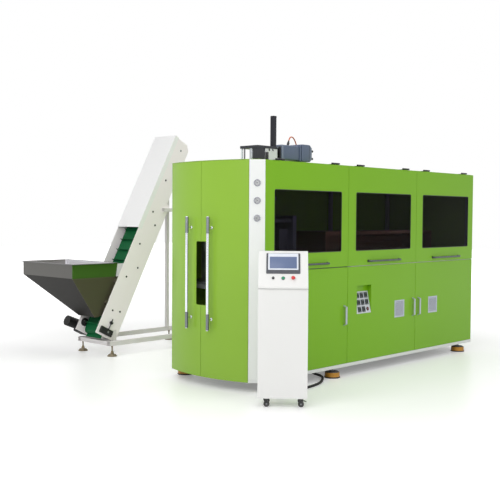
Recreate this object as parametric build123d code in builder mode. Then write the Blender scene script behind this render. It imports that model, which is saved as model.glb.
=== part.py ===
import os
from math import asin, cos, degrees, pi, radians, sin, sqrt, tan

from build123d import *

os.makedirs("parts", exist_ok=True)

# Blow moulding machine: a long cabinet with a curved double door at its left end,
# a preform elevator that stands behind it, and a control pedestal on castors in front.
# Millimetres, +X along the long side, +Y to the back, +Z up, origin on the floor
# under the middle of everything. Every place is measured from the cabinet's front left
# corner, which these two numbers put in the shared frame.
corner_x = -1548.5
corner_y = -1488.5

# Cabinet
section_width = 1187.0
section_count = 3
cabinet_depth = 1218.0
cabinet_height = 2050.0
floor_gap = 90.0
rail_height = 33.0
rail_width = 60.0
joint_height = 1067.6
column_leg = 99.0
column_flange = 60.0
end_bulge = 95.4
sheet = 2.0
roof_sheet = 3.0
door_depth = 25.0
door_gap = 4.0
joint_gap = 8.0
panel_gap = 2.0
tube = 40.0
tube_wall = 2.5
running_gap = 0.05

# Lift doors
window_left = 123.0
window_right = 111.0
window_over_joint = 152.4
window_under_top = 259.0
window_corner = 16.0
pane = 5.0
pane_lap = 15.0
lift_handle_length = 534.0
lift_handle_height = 1113.0
lift_handle_reach = 45.0
lift_handle_bar = 20.0
hinge_length = 114.0
hinge_inset = 140.0
hinge_rise = 8.0
hinge_back = 8.0
knuckle = 16.0
knuckle_gap = 0.5
hinge_pin = 8.0
leaf = 3.0
leaf_end = 60.0

# Lower doors
pull_low = 497.0
pull_high = 694.0
pull_width = 24.0
pull_reach = 32.0
pull_strap = 6.0
pull_inset = 51.0
pull_slant = 14.0
door_fold = 3.0
hinge_relief = 2.5
vent_size = 180.0
vent_low = 505.0
vent_places = [2075.0, 2718.0]
vent_flange = 12.0
louvre_pitch = 15.0
louvre = 1.6
recess_left = 149.0
recess_width = 238.0
recess_low = 588.0
recess_high = 873.0
recess_depth = 50.0
recess_back_height = 60.0
socket_plate = 3.0
socket_width = 42.0
socket_height = 52.0
socket_pitch = 68.0
socket_row_pitch = 70.0
socket_proud = 7.0

# Pivots of the lower doors and the end doors
pivot_inset = 10.0
pivot_back = 8.0
pivot_pin = 6.0
pivot_length = 12.0
pivot_boss = 14.0
pivot_plate = 4.0
bracket_length = 48.0

# End doors
slot_half = 64.0
slot_low = 745.0
slot_high = 1322.0
slot_corner = 14.0
grab_low = 525.0
grab_high = 1548.0
grab_bar = 28.0
grab_reach = 68.0
grab_offset = 134.0
grab_post = 14.0
grab_post_inset = 100.0

# Gauges on the corner column
gauge_drops = [207.0, 361.0, 514.0]
gauge_rim = 61.0
gauge_case = 54.0
gauge_proud = 9.0
gauge_dish = 3.0
gauge_dial = 52.0
gauge_depth = 26.0

# Levelling feet
foot_places = [120.0, 1020.0, 3350.0]
foot_inset = 50.0
foot_base = 156.0
foot_ring = 8.0
foot_pad = 46.0
foot_cap = 8.0
foot_stud = 20.0

# Stretch unit on the roof
unit_x = 417.0
unit_y = 493.0
unit_width = 279.0
unit_depth = 234.0
unit_rise = 175.0
unit_plate = 25.0
unit_base = 15.0
unit_base_margin = 17.0
thin_post = 12.0
light_post = 22.0
thick_post = 46.0
thin_post_place = (432.0, 676.0)
light_post_place = (432.0, 712.0)
thick_post_place = (450.0, 597.0)
unit_block_place = (425.0, 497.0)
unit_block_size = (100.0, 62.0)
rack_x = 672.0
rack_y = 525.0
rack_width = 45.0
rack_depth = 40.0
rack_rise = 470.0
rack_over_platen = 188.0
rack_pitch = 12.0
rack_tooth = 5.0
rack_gap = 0.3
rack_slot = 10.0
housing_x = 530.0
housing_y = 497.0
housing_width = 169.0
housing_depth = 208.0
flange_length = 94.0
flange_size = 165.0
motor_size = 175.0
motor_front = 180.0
motor_rear = 130.0
motor_cap = 110.0
motor_cap_end = 98.0
motor_rise = 130.0
motor_y = 609.0
motor_cable_size = 12.0
connector = 26.0
connector_length = 35.0
cable_end_rise = 30.0
cable_start_x = 975.0
cable_start_y = 600.0
cable_start_rise = 106.0

# Inside: bed, moulds, stretch rods and oven
bed_height = 930.0
bed_sheet = 20.0
mould_face_x = 660.0
mould_y = 609.0
mould_width = 360.0
mould_height = 300.0
mould_half = 120.0
mould_open = 260.0
platen = 50.0
platen_width = 500.0
platen_over_bed = 70.0
clamp_x = 40.0
clamp_bore = 60.0
clamp_case = 120.0
clamp_back = 150.0
clamp_front = 90.0
tie_bar = 45.0
tie_inset = 50.0
cavity = 65.0
cavity_neck = 30.0
cavity_depth = 230.0
cavity_spacing = 150.0
stretch_rod = 14.0
rod_over_mould = 70.0
carriage_height = 40.0
carriage_depth = 220.0
carriage_width = 60.0
oven_left = 1330.0
oven_length = 1980.0
oven_width = 420.0
oven_height = 470.0
oven_wall = 30.0
lamp = 12.0
lamp_count = 6

# Elevator
tail_x = 226.0
tail_z = 263.0
incline = 62.4
drum_distance = 2322.0
drum = 100.0
drum_shaft = 25.0
belt = 3.0
belt_gap = 0.3
belt_width = 300.0
cleat_count = 38
cleat_height = 38.0
cleat_width = 270.0
cleat = 4.0
trough_near = 2590.0
trough_width = 380.0
trough_sheet = 4.0
trough_front = 143.0
trough_back = 107.0
trough_tail = 63.0
trough_head = 110.0
cover_start = 1227.0
cover_height = 154.0
cover_side = 55.0
pan_depth = 45.0
pan_start = -8.0
pan_end = 1662.0
take_up_length = 170.0
take_up_width = 72.0
take_up_depth = 24.0
frame_tube = 50.0
frame_left = 190.0
frame_right = 1580.0
frame_near = 2490.0
frame_far = 3090.0
frame_low = 115.0
frame_cross = 300.0
post_x = 1480.0
post_top = 1750.0
arm_start = 1015.0
arm_low = 1600.0
elevator_foot = 108.0
elevator_hub = 48.0

# Hopper
hopper_left = -197.0
hopper_right = 405.0
hopper_waist_right = 376.0
hopper_near = 2634.0
hopper_far = 3616.0
hopper_top = 1022.0
hopper_waist = 868.0
hopper_mouth = 430.0
hopper_mouth_left = 90.0
hopper_mouth_right = 149.0
hopper_mouth_far = 2930.0
hopper_sheet = 2.0
hopper_lip = 14.0
hopper_flange_places = [300.0, 560.0]
hopper_flange = 40.0

# Pedestal
pedestal_x = -455.0
pedestal_y = -352.0
pedestal_turn = -48.0
pedestal_width = 405.0
pedestal_depth = 235.0
pedestal_low = 78.0
head_low = 972.0
head_high = 1266.0
head_overhang = 12.0
head_front = 14.0
head_tilt = 33.0
screen_width = 277.0
screen_height = 190.0
screen_drop = 22.0
screen_frame = 24.0
screen_proud = 5.0
button_drop = 255.0
button_spacing = 81.0
button_ring = 30.0
button_bores = [16.0, 25.0, 16.0]
ring_proud = 4.0
start_proud = 5.0
stop_travel = 6.0
stop_head = 40.0
stop_height = 16.0
castor_wheel = 50.0
castor_tread = 20.0
castor_trail = 12.0
castor_inset_side = 62.0
castor_inset_front = 52.0
castor_plate_long = 75.0
castor_plate_short = 60.0
castor_plate = 6.0
castor_pin = 10.0
castor_axle = 8.0

# Conduit from the pedestal to the machine
conduit = 24.0
gland = 34.0
gland_length = 22.0
conduit_exit = 110.0
first_run = 110.0
last_run = 65.0
conduit_floor = [(215.0, -150.0), (430.0, -142.0), (666.0, -95.0), (865.0, 35.0), (955.0, 130.0), (988.0, 245.0)]
conduit_entry_x = 975.0
conduit_entry_y = 415.0
conduit_entry_z = 45.0

cabinet_length = section_width * section_count
door_plane = door_depth + panel_gap
door_low = floor_gap + rail_height + panel_gap
frame_top = cabinet_height - roof_sheet
door_top = frame_top - panel_gap
base_top = floor_gap + rail_height
joint_low = joint_height - joint_gap / 2
joint_high = joint_height + joint_gap / 2
window_low = joint_height + window_over_joint
window_high = cabinet_height - window_under_top
gauge_heights = [cabinet_height - drop for drop in gauge_drops]
platen_low = bed_height + platen_over_bed
platen_high = platen_low + (cabinet_height - bed_height) / 2
mould_low = (platen_low + platen_high - mould_height) / 2
mould_high = mould_low + mould_height
rod_low = mould_high + rod_over_mould
unit_top = cabinet_height + unit_rise
rack_low = platen_high + rack_over_platen
rack_length = cabinet_height + rack_rise - rack_low
motor_height = cabinet_height + motor_rise
cable_end_height = cabinet_height + cable_end_rise
cable_start_z = motor_height + cable_start_rise
end_chord = cabinet_depth - 2 * column_leg
end_radius = (end_chord**2 / 4 + end_bulge**2) / (2 * end_bulge)
end_centre_x = end_radius - column_leg - end_bulge
end_centre_y = cabinet_depth / 2
end_half_angle = degrees(asin(end_chord / 2 / end_radius))


def at(x, y, z):
    """A point measured from the cabinet's front left corner."""
    return (corner_x + x, corner_y + y, z)


def flat(x, y, z):
    """A level sketch plane."""
    return Plane(origin=at(x, y, z))


def facing_front(x, y, z):
    """A sketch plane on a front face: x to the right, y up, out to the front."""
    return Plane(origin=at(x, y, z), x_dir=(1, 0, 0), z_dir=(0, -1, 0))


def facing_back(x, y, z):
    """A sketch plane on a rear face: x up, y to the right, out to the back."""
    return Plane(origin=at(x, y, z), x_dir=(0, 0, 1), z_dir=(0, 1, 0))


def facing_right(x, y, z):
    """A sketch plane on a right end face: x to the back, y up, out to the right."""
    return Plane(origin=at(x, y, z), x_dir=(0, 1, 0), z_dir=(1, 0, 0))


def save(shape, name):
    shape.label = name
    export_step(shape, f"parts/{name}.step")


def save_group(shapes, name):
    save(Compound(label=name, children=shapes), name)


def hollow_tube(plane, length, width=tube, height=tube):
    """A square hollow section with its low corner at the plane's origin."""
    with BuildPart() as section:
        with BuildSketch(plane):
            with Locations((width / 2, height / 2)):
                RectangleRounded(width, height, 2 * tube_wall)
                RectangleRounded(
                    width - 2 * tube_wall, height - 2 * tube_wall, tube_wall, mode=Mode.SUBTRACT
                )
        extrude(amount=length)
    return section.part


def tube_along_x(x, y, z, length, depth=tube, height=tube):
    return hollow_tube(facing_right(x, y, z), length, depth, height)


def tube_along_y(x, y, z, length, width=tube, height=tube):
    return hollow_tube(facing_back(x, y, z), length, height, width)


def tube_upright(x, y, z, length, width=tube, depth=tube):
    return hollow_tube(flat(x, y, z), length, width, depth)


def block(x, y, z, width, depth, height):
    """A plain rectangular block from its low corner."""
    with BuildPart() as solid:
        with BuildSketch(flat(x, y, z)):
            Rectangle(width, depth, align=(Align.MIN, Align.MIN))
        extrude(amount=height)
    return solid.part


def rod(plane, diameter, length):
    with BuildPart() as solid:
        with BuildSketch(plane):
            Circle(diameter / 2)
        extrude(amount=length)
    return solid.part


# Door edges and pivots. Doors 1 and 2 hang on their left edge and door 3 on its right
# edge, and every pivot pin stands inside the door's own thickness.
door_left = [k * section_width + (panel_gap if k == 0 else door_gap / 2) for k in range(section_count)]
door_right = [
    (k + 1) * section_width - (panel_gap if k == section_count - 1 else door_gap / 2)
    for k in range(section_count)
]
hung_left = [True, True, False]
pivot_x = [
    door_left[k] + pivot_inset if hung_left[k] else door_right[k] - pivot_inset
    for k in range(section_count)
]
pin_reach = panel_gap + pivot_length
bore_radius = pivot_pin / 2 + running_gap


def end_point(angle, radius):
    """A point on the end doors' arc, the angle counted from straight out to the left."""
    turn = radians(180 + angle)
    return (end_centre_x + radius * cos(turn), end_centre_y + radius * sin(turn))


def arc_band(height, outer, inner, first, last):
    """The area between two radii about the end doors' centre, at a height."""
    with BuildSketch(flat(end_centre_x, end_centre_y, height)) as band:
        with BuildLine():
            CenterArc((0, 0), outer, 180 + first, last - first)
            CenterArc((0, 0), inner, 180 + first, last - first)
            for angle in (first, last):
                turn = radians(180 + angle)
                Line(
                    (outer * cos(turn), outer * sin(turn)),
                    (inner * cos(turn), inner * sin(turn)),
                )
        make_face()
    return band.sketch


leaf_angle = end_half_angle - degrees(door_gap / end_radius)
seam_angle = degrees(door_gap / 2 / end_radius)
pivot_angle = leaf_angle - degrees(pivot_inset / end_radius)
end_pivots = [end_point(side * pivot_angle, end_radius - pivot_back) for side in (1, -1)]

# Base frame. The front rail shows as a white strip under the lower doors and carries
# their bottom pins. Round the curved end a bent bar runs behind the end doors, and
# two small plates under it carry the end doors' bottom pins.
with BuildPart() as front_rail:
    with BuildSketch(facing_right(0, 0, floor_gap)):
        with Locations((rail_width / 2, rail_height / 2)):
            RectangleRounded(rail_width, rail_height, tube_wall)
            RectangleRounded(
                rail_width - 2 * tube_wall, rail_height - 2 * tube_wall, tube_wall / 2, mode=Mode.SUBTRACT
            )
    extrude(amount=cabinet_length)
    for x in pivot_x:
        with BuildSketch(flat(x, pivot_back, base_top - tube_wall)):
            Circle(pivot_pin / 2)
        extrude(amount=tube_wall + pin_reach)

end_post_x = -70.0
corner_plate_x = end_post_x + 10.0
corner_plate_y = column_leg + 52.0
arc_outer = end_radius - door_plane - panel_gap
arc_inner = arc_outer - rail_width
arc_angle = end_half_angle - 0.7

with BuildPart() as end_rail:
    extrude(arc_band(floor_gap, arc_outer, arc_inner, -arc_angle, arc_angle), amount=rail_height)
    for front in (True, False):
        corner = [
            (0, 0),
            (-column_leg, column_leg),
            (corner_plate_x, column_leg),
            (corner_plate_x, corner_plate_y),
            (0, corner_plate_y),
        ]
        if not front:
            corner = [(x, cabinet_depth - y) for x, y in corner]
        with BuildSketch(flat(0, 0, floor_gap)):
            with BuildLine():
                Polyline(*corner, close=True)
            make_face()
        extrude(amount=rail_height)
    for x, y in end_pivots:
        inward = Plane(
            origin=at(x, y, floor_gap - leaf),
            x_dir=(end_centre_x - x, end_centre_y - y, 0),
            z_dir=(0, 0, 1),
        )
        with BuildSketch(inward):
            with Locations((door_plane - 1, 0)):
                Rectangle(2 * (door_plane - 1 + pivot_back), 2 * pivot_back)
        extrude(amount=leaf)
        with BuildSketch(flat(x, y, floor_gap)):
            Circle(pivot_pin / 2)
        extrude(amount=pin_reach)

cross_places = [k * section_width - rail_width / 2 for k in range(1, section_count)]
cross_places += [conduit_entry_x - rail_width / 2, cabinet_length - rail_width]
cross_length = cabinet_depth - 2 * rail_width
rear_rail = tube_along_x(0, cabinet_depth - rail_width, floor_gap, cabinet_length, rail_width, rail_height)
cross_rails = [
    tube_along_y(x, rail_width, floor_gap, cross_length, rail_width, rail_height) for x in cross_places
]

# The conduit's gland sits on a plate that hangs under one of the cross rails.
gland_plate_y = conduit_entry_y + gland_length
with BuildPart() as gland_bracket:
    with BuildSketch(facing_front(conduit_entry_x, gland_plate_y, conduit_entry_z)):
        with Locations((0, (floor_gap - conduit_entry_z - gland / 2) / 2 - 2)):
            Rectangle(1.6 * gland, floor_gap - conduit_entry_z + gland / 2 + 4)
    extrude(amount=-pivot_plate)
    with BuildSketch(facing_front(conduit_entry_x, gland_plate_y, conduit_entry_z)):
        RegularPolygon(gland / 2, 6)
    extrude(amount=gland_length)

save_group(
    [front_rail.part, end_rail.part, rear_rail, gland_bracket.part] + cross_rails,
    "base_frame",
)

# Levelling feet: a black ring, a tapered pad, a cap and a stud up to the rails.
feet = []
for x in foot_places:
    for y in (foot_inset, cabinet_depth - foot_inset):
        with BuildPart() as foot:
            with BuildSketch(flat(x, y, 0)):
                Circle(foot_base / 2)
            extrude(amount=foot_ring)
            with BuildSketch(flat(x, y, foot_ring)):
                Circle(foot_base / 2 - 4)
            extrude(amount=foot_pad, taper=4)
            with BuildSketch(flat(x, y, foot_ring + foot_pad)):
                Circle(foot_base / 2 - 14)
            extrude(amount=foot_cap, taper=30)
            with BuildSketch(flat(x, y, foot_ring + foot_pad + foot_cap)):
                RegularPolygon(0.8 * foot_stud, 6)
            extrude(amount=12)
            with BuildSketch(flat(x, y, foot_ring + foot_pad)):
                Circle(foot_stud / 2)
            extrude(amount=floor_gap - foot_ring - foot_pad)
        feet.append(foot.part)
save_group(feet, "levelling_feet")

# Skeleton behind the doors. The front posts stand one door thickness and a gap back.
post_y = door_plane
rear_post_y = cabinet_depth - door_depth - tube
post_places = [0.0] + [k * section_width - tube / 2 for k in range(1, section_count)]
post_places.append(cabinet_length - door_depth - tube)
beam_low = frame_top - tube
mid_low = joint_height - tube / 2
between = rear_post_y - post_y - tube
end_post_y = column_leg
skeleton = []
for x in post_places:
    skeleton.append(tube_upright(x, post_y, base_top, beam_low - base_top))
    skeleton.append(tube_upright(x, rear_post_y, base_top, beam_low - base_top))
    skeleton.append(tube_along_y(x, post_y + tube, beam_low, between))
    skeleton.append(tube_along_y(x, post_y + tube, bed_height - bed_sheet - tube, between))
for left, right in zip(post_places, post_places[1:]):
    skeleton.append(tube_along_x(left + tube, post_y, mid_low, right - left - tube))
top_length = cabinet_length - door_depth
skeleton.append(tube_along_x(0, post_y, beam_low, top_length))
skeleton.append(tube_along_x(0, rear_post_y, beam_low, top_length))
for x in (unit_x - tube, unit_x + unit_width + unit_base_margin):
    skeleton.append(tube_along_y(x, post_y + tube, beam_low, between))
for y in (end_post_y, cabinet_depth - end_post_y - tube):
    skeleton.append(tube_upright(end_post_x, y, base_top, beam_low - base_top))
    skeleton.append(tube_along_x(end_post_x + tube, y, beam_low, -end_post_x - tube))
skeleton.append(tube_along_y(end_post_x, end_post_y, beam_low, cabinet_depth - 2 * end_post_y))

# The lower doors' top pins hang from flat brackets in the gap under the lift doors.
bracket_low = joint_height - pivot_plate / 2
for k in range(section_count):
    side = 1 if hung_left[k] else -1
    with BuildPart() as bracket:
        with BuildSketch(flat(pivot_x[k] + side * bracket_length / 3, (post_y + panel_gap) / 2, bracket_low)):
            Rectangle(bracket_length, post_y - panel_gap)
        extrude(amount=pivot_plate)
        with BuildSketch(flat(pivot_x[k], pivot_back, bracket_low)):
            Circle(pivot_pin / 2)
        extrude(amount=-(bracket_low - joint_low + pivot_length))
    skeleton.append(bracket.part)
save_group(skeleton, "cabinet_frame")

# Machine bed
with BuildPart() as machine_bed:
    with BuildSketch(flat(0, post_y + tube, bed_height - bed_sheet)):
        Rectangle(cabinet_length - door_depth - tube, between, align=(Align.MIN, Align.MIN))
    extrude(amount=bed_sheet)
save(machine_bed.part, "machine_bed")

# Roof: one sheet over the skeleton, with the end doors' top pins on its underside,
# a hole for the rack and a gland for the motor's cable.
gland_x, gland_y = (1275.0, 730.0)
with BuildPart() as roof_panel:
    with BuildSketch(flat(0, 0, frame_top)):
        with BuildLine():
            Line((-post_y, post_y), (cabinet_length, post_y))
            Line((cabinet_length, post_y), (cabinet_length, cabinet_depth))
            Line((cabinet_length, cabinet_depth), (0, cabinet_depth))
            Line((0, cabinet_depth), (-column_leg, cabinet_depth - column_leg))
            ThreePointArc(
                (-column_leg, cabinet_depth - column_leg),
                (-column_leg - end_bulge, end_centre_y),
                (-column_leg, column_leg),
            )
            Line((-column_leg, column_leg), (-post_y, post_y))
        make_face()
        with Locations((rack_x, rack_y)):
            Rectangle(rack_width + rack_slot, rack_depth + rack_slot, mode=Mode.SUBTRACT)
    extrude(amount=roof_sheet)
    for x, y in end_pivots:
        with BuildSketch(flat(x, y, frame_top)):
            Circle(pivot_pin / 2)
        extrude(amount=-pin_reach)
    with BuildSketch(flat(gland_x, gland_y, cabinet_height)):
        RegularPolygon(motor_cable_size, 6)
    extrude(amount=cable_end_height - cabinet_height)
save(roof_panel.part, "roof_panel")

# Corner columns: one folded sheet at each end of the curved side. The front one is
# pierced for the gauges.
gauge_hole = gauge_case / 2 + 0.3
column_middle = column_leg / 2
slant = sqrt(0.5)
fold = sheet * (sqrt(2) - 1)
columns = []
for front in (True, False):
    profile = [
        (0, column_flange),
        (0, 0),
        (-column_leg, column_leg),
        (end_post_x + tube, column_leg),
        (end_post_x + tube, column_leg - sheet),
        (-column_leg + sheet + sheet + fold, column_leg - sheet),
        (-sheet, sheet + fold),
        (-sheet, column_flange),
    ]
    if not front:
        profile = [(x, cabinet_depth - y) for x, y in profile]
    with BuildPart() as column:
        with BuildSketch(flat(0, 0, base_top)):
            with BuildLine():
                Polyline(*profile, close=True)
            make_face()
        extrude(amount=frame_top - base_top)
        if front:
            for height in gauge_heights:
                face = Plane(
                    origin=at(-column_middle, column_middle, height),
                    x_dir=(slant, -slant, 0),
                    z_dir=(-slant, -slant, 0),
                )
                with BuildSketch(face):
                    Circle(gauge_hole)
                extrude(amount=-4 * sheet, mode=Mode.SUBTRACT)
    columns.append(column.part)
save_group(columns, "corner_columns")

# Pressure gauges: a rim against the column's face, a case through it, a sunk dial.
gauges = []
for height in gauge_heights:
    face = Plane(
        origin=at(-column_middle, column_middle, height),
        x_dir=(slant, -slant, 0),
        z_dir=(-slant, -slant, 0),
    )
    with BuildPart() as gauge:
        with BuildSketch(face):
            Circle(gauge_rim / 2)
        extrude(amount=gauge_proud)
        with BuildSketch(face):
            Circle(gauge_case / 2)
        extrude(amount=-gauge_depth)
        with BuildSketch(face.offset(gauge_proud)):
            Circle(gauge_dial / 2)
        extrude(amount=-gauge_dish, mode=Mode.SUBTRACT)
    gauges.append(gauge.part)
save_group(gauges, "pressure_gauges")

# Fixed panels: sheet pans on the rear posts and on the right end.
panels = []
pan_height = door_top - door_low
for k in range(section_count):
    with BuildPart() as rear_pan:
        with BuildSketch(flat(door_left[k], cabinet_depth - door_depth, door_low)):
            Rectangle(door_right[k] - door_left[k], door_depth, align=(Align.MIN, Align.MIN))
        extrude(amount=pan_height)
        inner_face = rear_pan.faces().sort_by(Axis.Y)[0]
        offset(amount=-sheet, openings=inner_face)
    panels.append(rear_pan.part)
with BuildPart() as end_pan:
    with BuildSketch(flat(cabinet_length - door_depth, post_y, door_low)):
        Rectangle(door_depth, cabinet_depth - post_y - door_depth, align=(Align.MIN, Align.MIN))
    extrude(amount=pan_height)
    inner_face = end_pan.faces().sort_by(Axis.X)[0]
    offset(amount=-sheet, openings=inner_face)
panels.append(end_pan.part)
save_group(panels, "fixed_panels")

# Control gear: a mounting plate from the base to the bed's cross beams, with a drive,
# a row of contactors, a supply and two wiring ducts on its front.
gear_left = section_width + 60.0
gear_right = cabinet_length - 90.0
gear_y = 620.0
gear_plate = 4.0
gear_top = bed_height - bed_sheet - tube
second_bay = gear_left + section_width + 173.0
gear_items = [
    (gear_left + 60, 380, 260, 190, 340),
    (gear_left + 380, 400, 180, 120, 260),
    (second_bay, 360, 340, 210, 380),
    (second_bay + 420, 420, 200, 130, 220),
]
contactor = (54.0, 86.0, 90.0)
duct = (40.0, 60.0)
with BuildPart() as control_gear:
    with BuildSketch(flat(gear_left, gear_y, base_top)):
        Rectangle(gear_right - gear_left, gear_plate, align=(Align.MIN, Align.MIN))
    extrude(amount=gear_top - base_top)
    for x, z, width, depth, height in gear_items:
        with BuildSketch(facing_front(x, gear_y, z)):
            Rectangle(width, height, align=(Align.MIN, Align.MIN))
        extrude(amount=depth)
    for k in range(9):
        with BuildSketch(facing_front(gear_left + 660 + 64 * k, gear_y, 520)):
            Rectangle(contactor[0], contactor[1], align=(Align.MIN, Align.MIN))
        extrude(amount=contactor[2])
    for height in (260.0, 800.0):
        with BuildSketch(facing_front(gear_left + 30, gear_y, height)):
            Rectangle(gear_right - gear_left - 60, duct[0], align=(Align.MIN, Align.MIN))
        extrude(amount=duct[1])
save(control_gear.part, "control_gear")

# Lift doors: sheet pans hung from the roof's front edge, with a knuckle on two tabs,
# a framed window and a long bar handle.
hinge_z = cabinet_height + hinge_rise
knuckle_length = hinge_length / 3
hinge_starts = []
for k in range(section_count):
    hinge_starts.append(door_left[k] + hinge_inset)
    hinge_starts.append(door_right[k] - hinge_inset - hinge_length)

for k in range(section_count):
    left, right = door_left[k], door_right[k]
    pane_left = k * section_width + window_left
    pane_right = (k + 1) * section_width - window_right
    pane_middle = (pane_left + pane_right) / 2
    pane_height = (window_low + window_high) / 2
    opening = (pane_right - pane_left, window_high - window_low)
    with BuildPart() as lift_door:
        with BuildSketch(flat(left, 0, joint_high)):
            Rectangle(right - left, door_depth, align=(Align.MIN, Align.MIN))
        extrude(amount=door_top - joint_high)
        rear_face = lift_door.faces().sort_by(Axis.Y)[-1]
        offset(amount=-sheet, openings=rear_face)
        with BuildSketch(facing_front(pane_middle, 0, pane_height)):
            RectangleRounded(*opening, window_corner)
        extrude(amount=-sheet, mode=Mode.SUBTRACT)
        for start in hinge_starts[2 * k : 2 * k + 2]:
            tab_left = start + knuckle_length + knuckle_gap
            tab_width = knuckle_length - 2 * knuckle_gap
            with BuildSketch(facing_right(tab_left, hinge_back, hinge_z)):
                Circle(knuckle / 2)
                with Locations((0, -(hinge_z - door_top) / 2)):
                    Rectangle(knuckle / 2, hinge_z - door_top)
                Circle(hinge_pin / 2 + running_gap, mode=Mode.SUBTRACT)
            extrude(amount=tab_width)
    save(lift_door.part, f"lift_door_{k + 1}")

    with BuildPart() as window:
        with BuildSketch(facing_front(pane_middle, sheet, pane_height)):
            RectangleRounded(opening[0] + 2 * pane_lap, opening[1] + 2 * pane_lap, window_corner)
        extrude(amount=-pane)
    save(window.part, f"window_{k + 1}")

    # The bar's ends turn back to the door and end in small round feet.
    handle_left = (k + 0.5) * section_width - lift_handle_length / 2 + 2
    handle_right = handle_left + lift_handle_length
    reach = lift_handle_reach - lift_handle_bar / 2
    with BuildPart() as lift_handle:
        with BuildLine() as bar_path:
            FilletPolyline(
                at(handle_left, 0, lift_handle_height),
                at(handle_left, -reach, lift_handle_height),
                at(handle_right, -reach, lift_handle_height),
                at(handle_right, 0, lift_handle_height),
                radius=lift_handle_bar,
            )
        with BuildSketch(facing_front(handle_left, 0, lift_handle_height)):
            Circle(lift_handle_bar / 2)
        sweep(path=bar_path.wires()[0])
        for x in (handle_left, handle_right):
            with BuildSketch(facing_front(x, 0, lift_handle_height)):
                Circle(0.65 * lift_handle_bar)
            extrude(amount=4)
    save(lift_handle.part, f"lift_handle_{k + 1}")

# Hinges: a leaf on the roof, two outer knuckles and the pin through the door's knuckle.
hinges = []
for start in hinge_starts:
    with BuildPart() as hinge:
        with BuildSketch(flat(start, post_y, cabinet_height)):
            Rectangle(hinge_length, leaf_end - post_y, align=(Align.MIN, Align.MIN))
        extrude(amount=leaf)
        for ear in (start, start + hinge_length - knuckle_length):
            with BuildSketch(facing_right(ear, hinge_back, hinge_z)):
                Circle(knuckle / 2)
                with Locations(((post_y - hinge_back) / 2, leaf / 2 - hinge_rise)):
                    Rectangle(post_y - hinge_back, leaf)
            extrude(amount=knuckle_length)
        with BuildSketch(facing_right(start, hinge_back, hinge_z)):
            Circle(hinge_pin / 2)
        extrude(amount=hinge_length)
    hinges.append(hinge.part)
save_group(hinges, "lift_hinges")

# Lower doors: sheet pans on pins, each with a strap handle. Doors 2 and 3 have a
# louvred vent near their free edge, and door 2 has a recess for the socket plate.
recess_x = section_width + recess_left


def recess_profile(wall):
    """The recess in section, y to the back and z up, grown by a wall."""
    return [
        (-1, recess_low - wall),
        (0, recess_low - wall),
        (recess_depth + wall, recess_high - recess_back_height - wall / 2),
        (recess_depth + wall, recess_high + wall),
        (-1, recess_high + wall),
    ]


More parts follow.
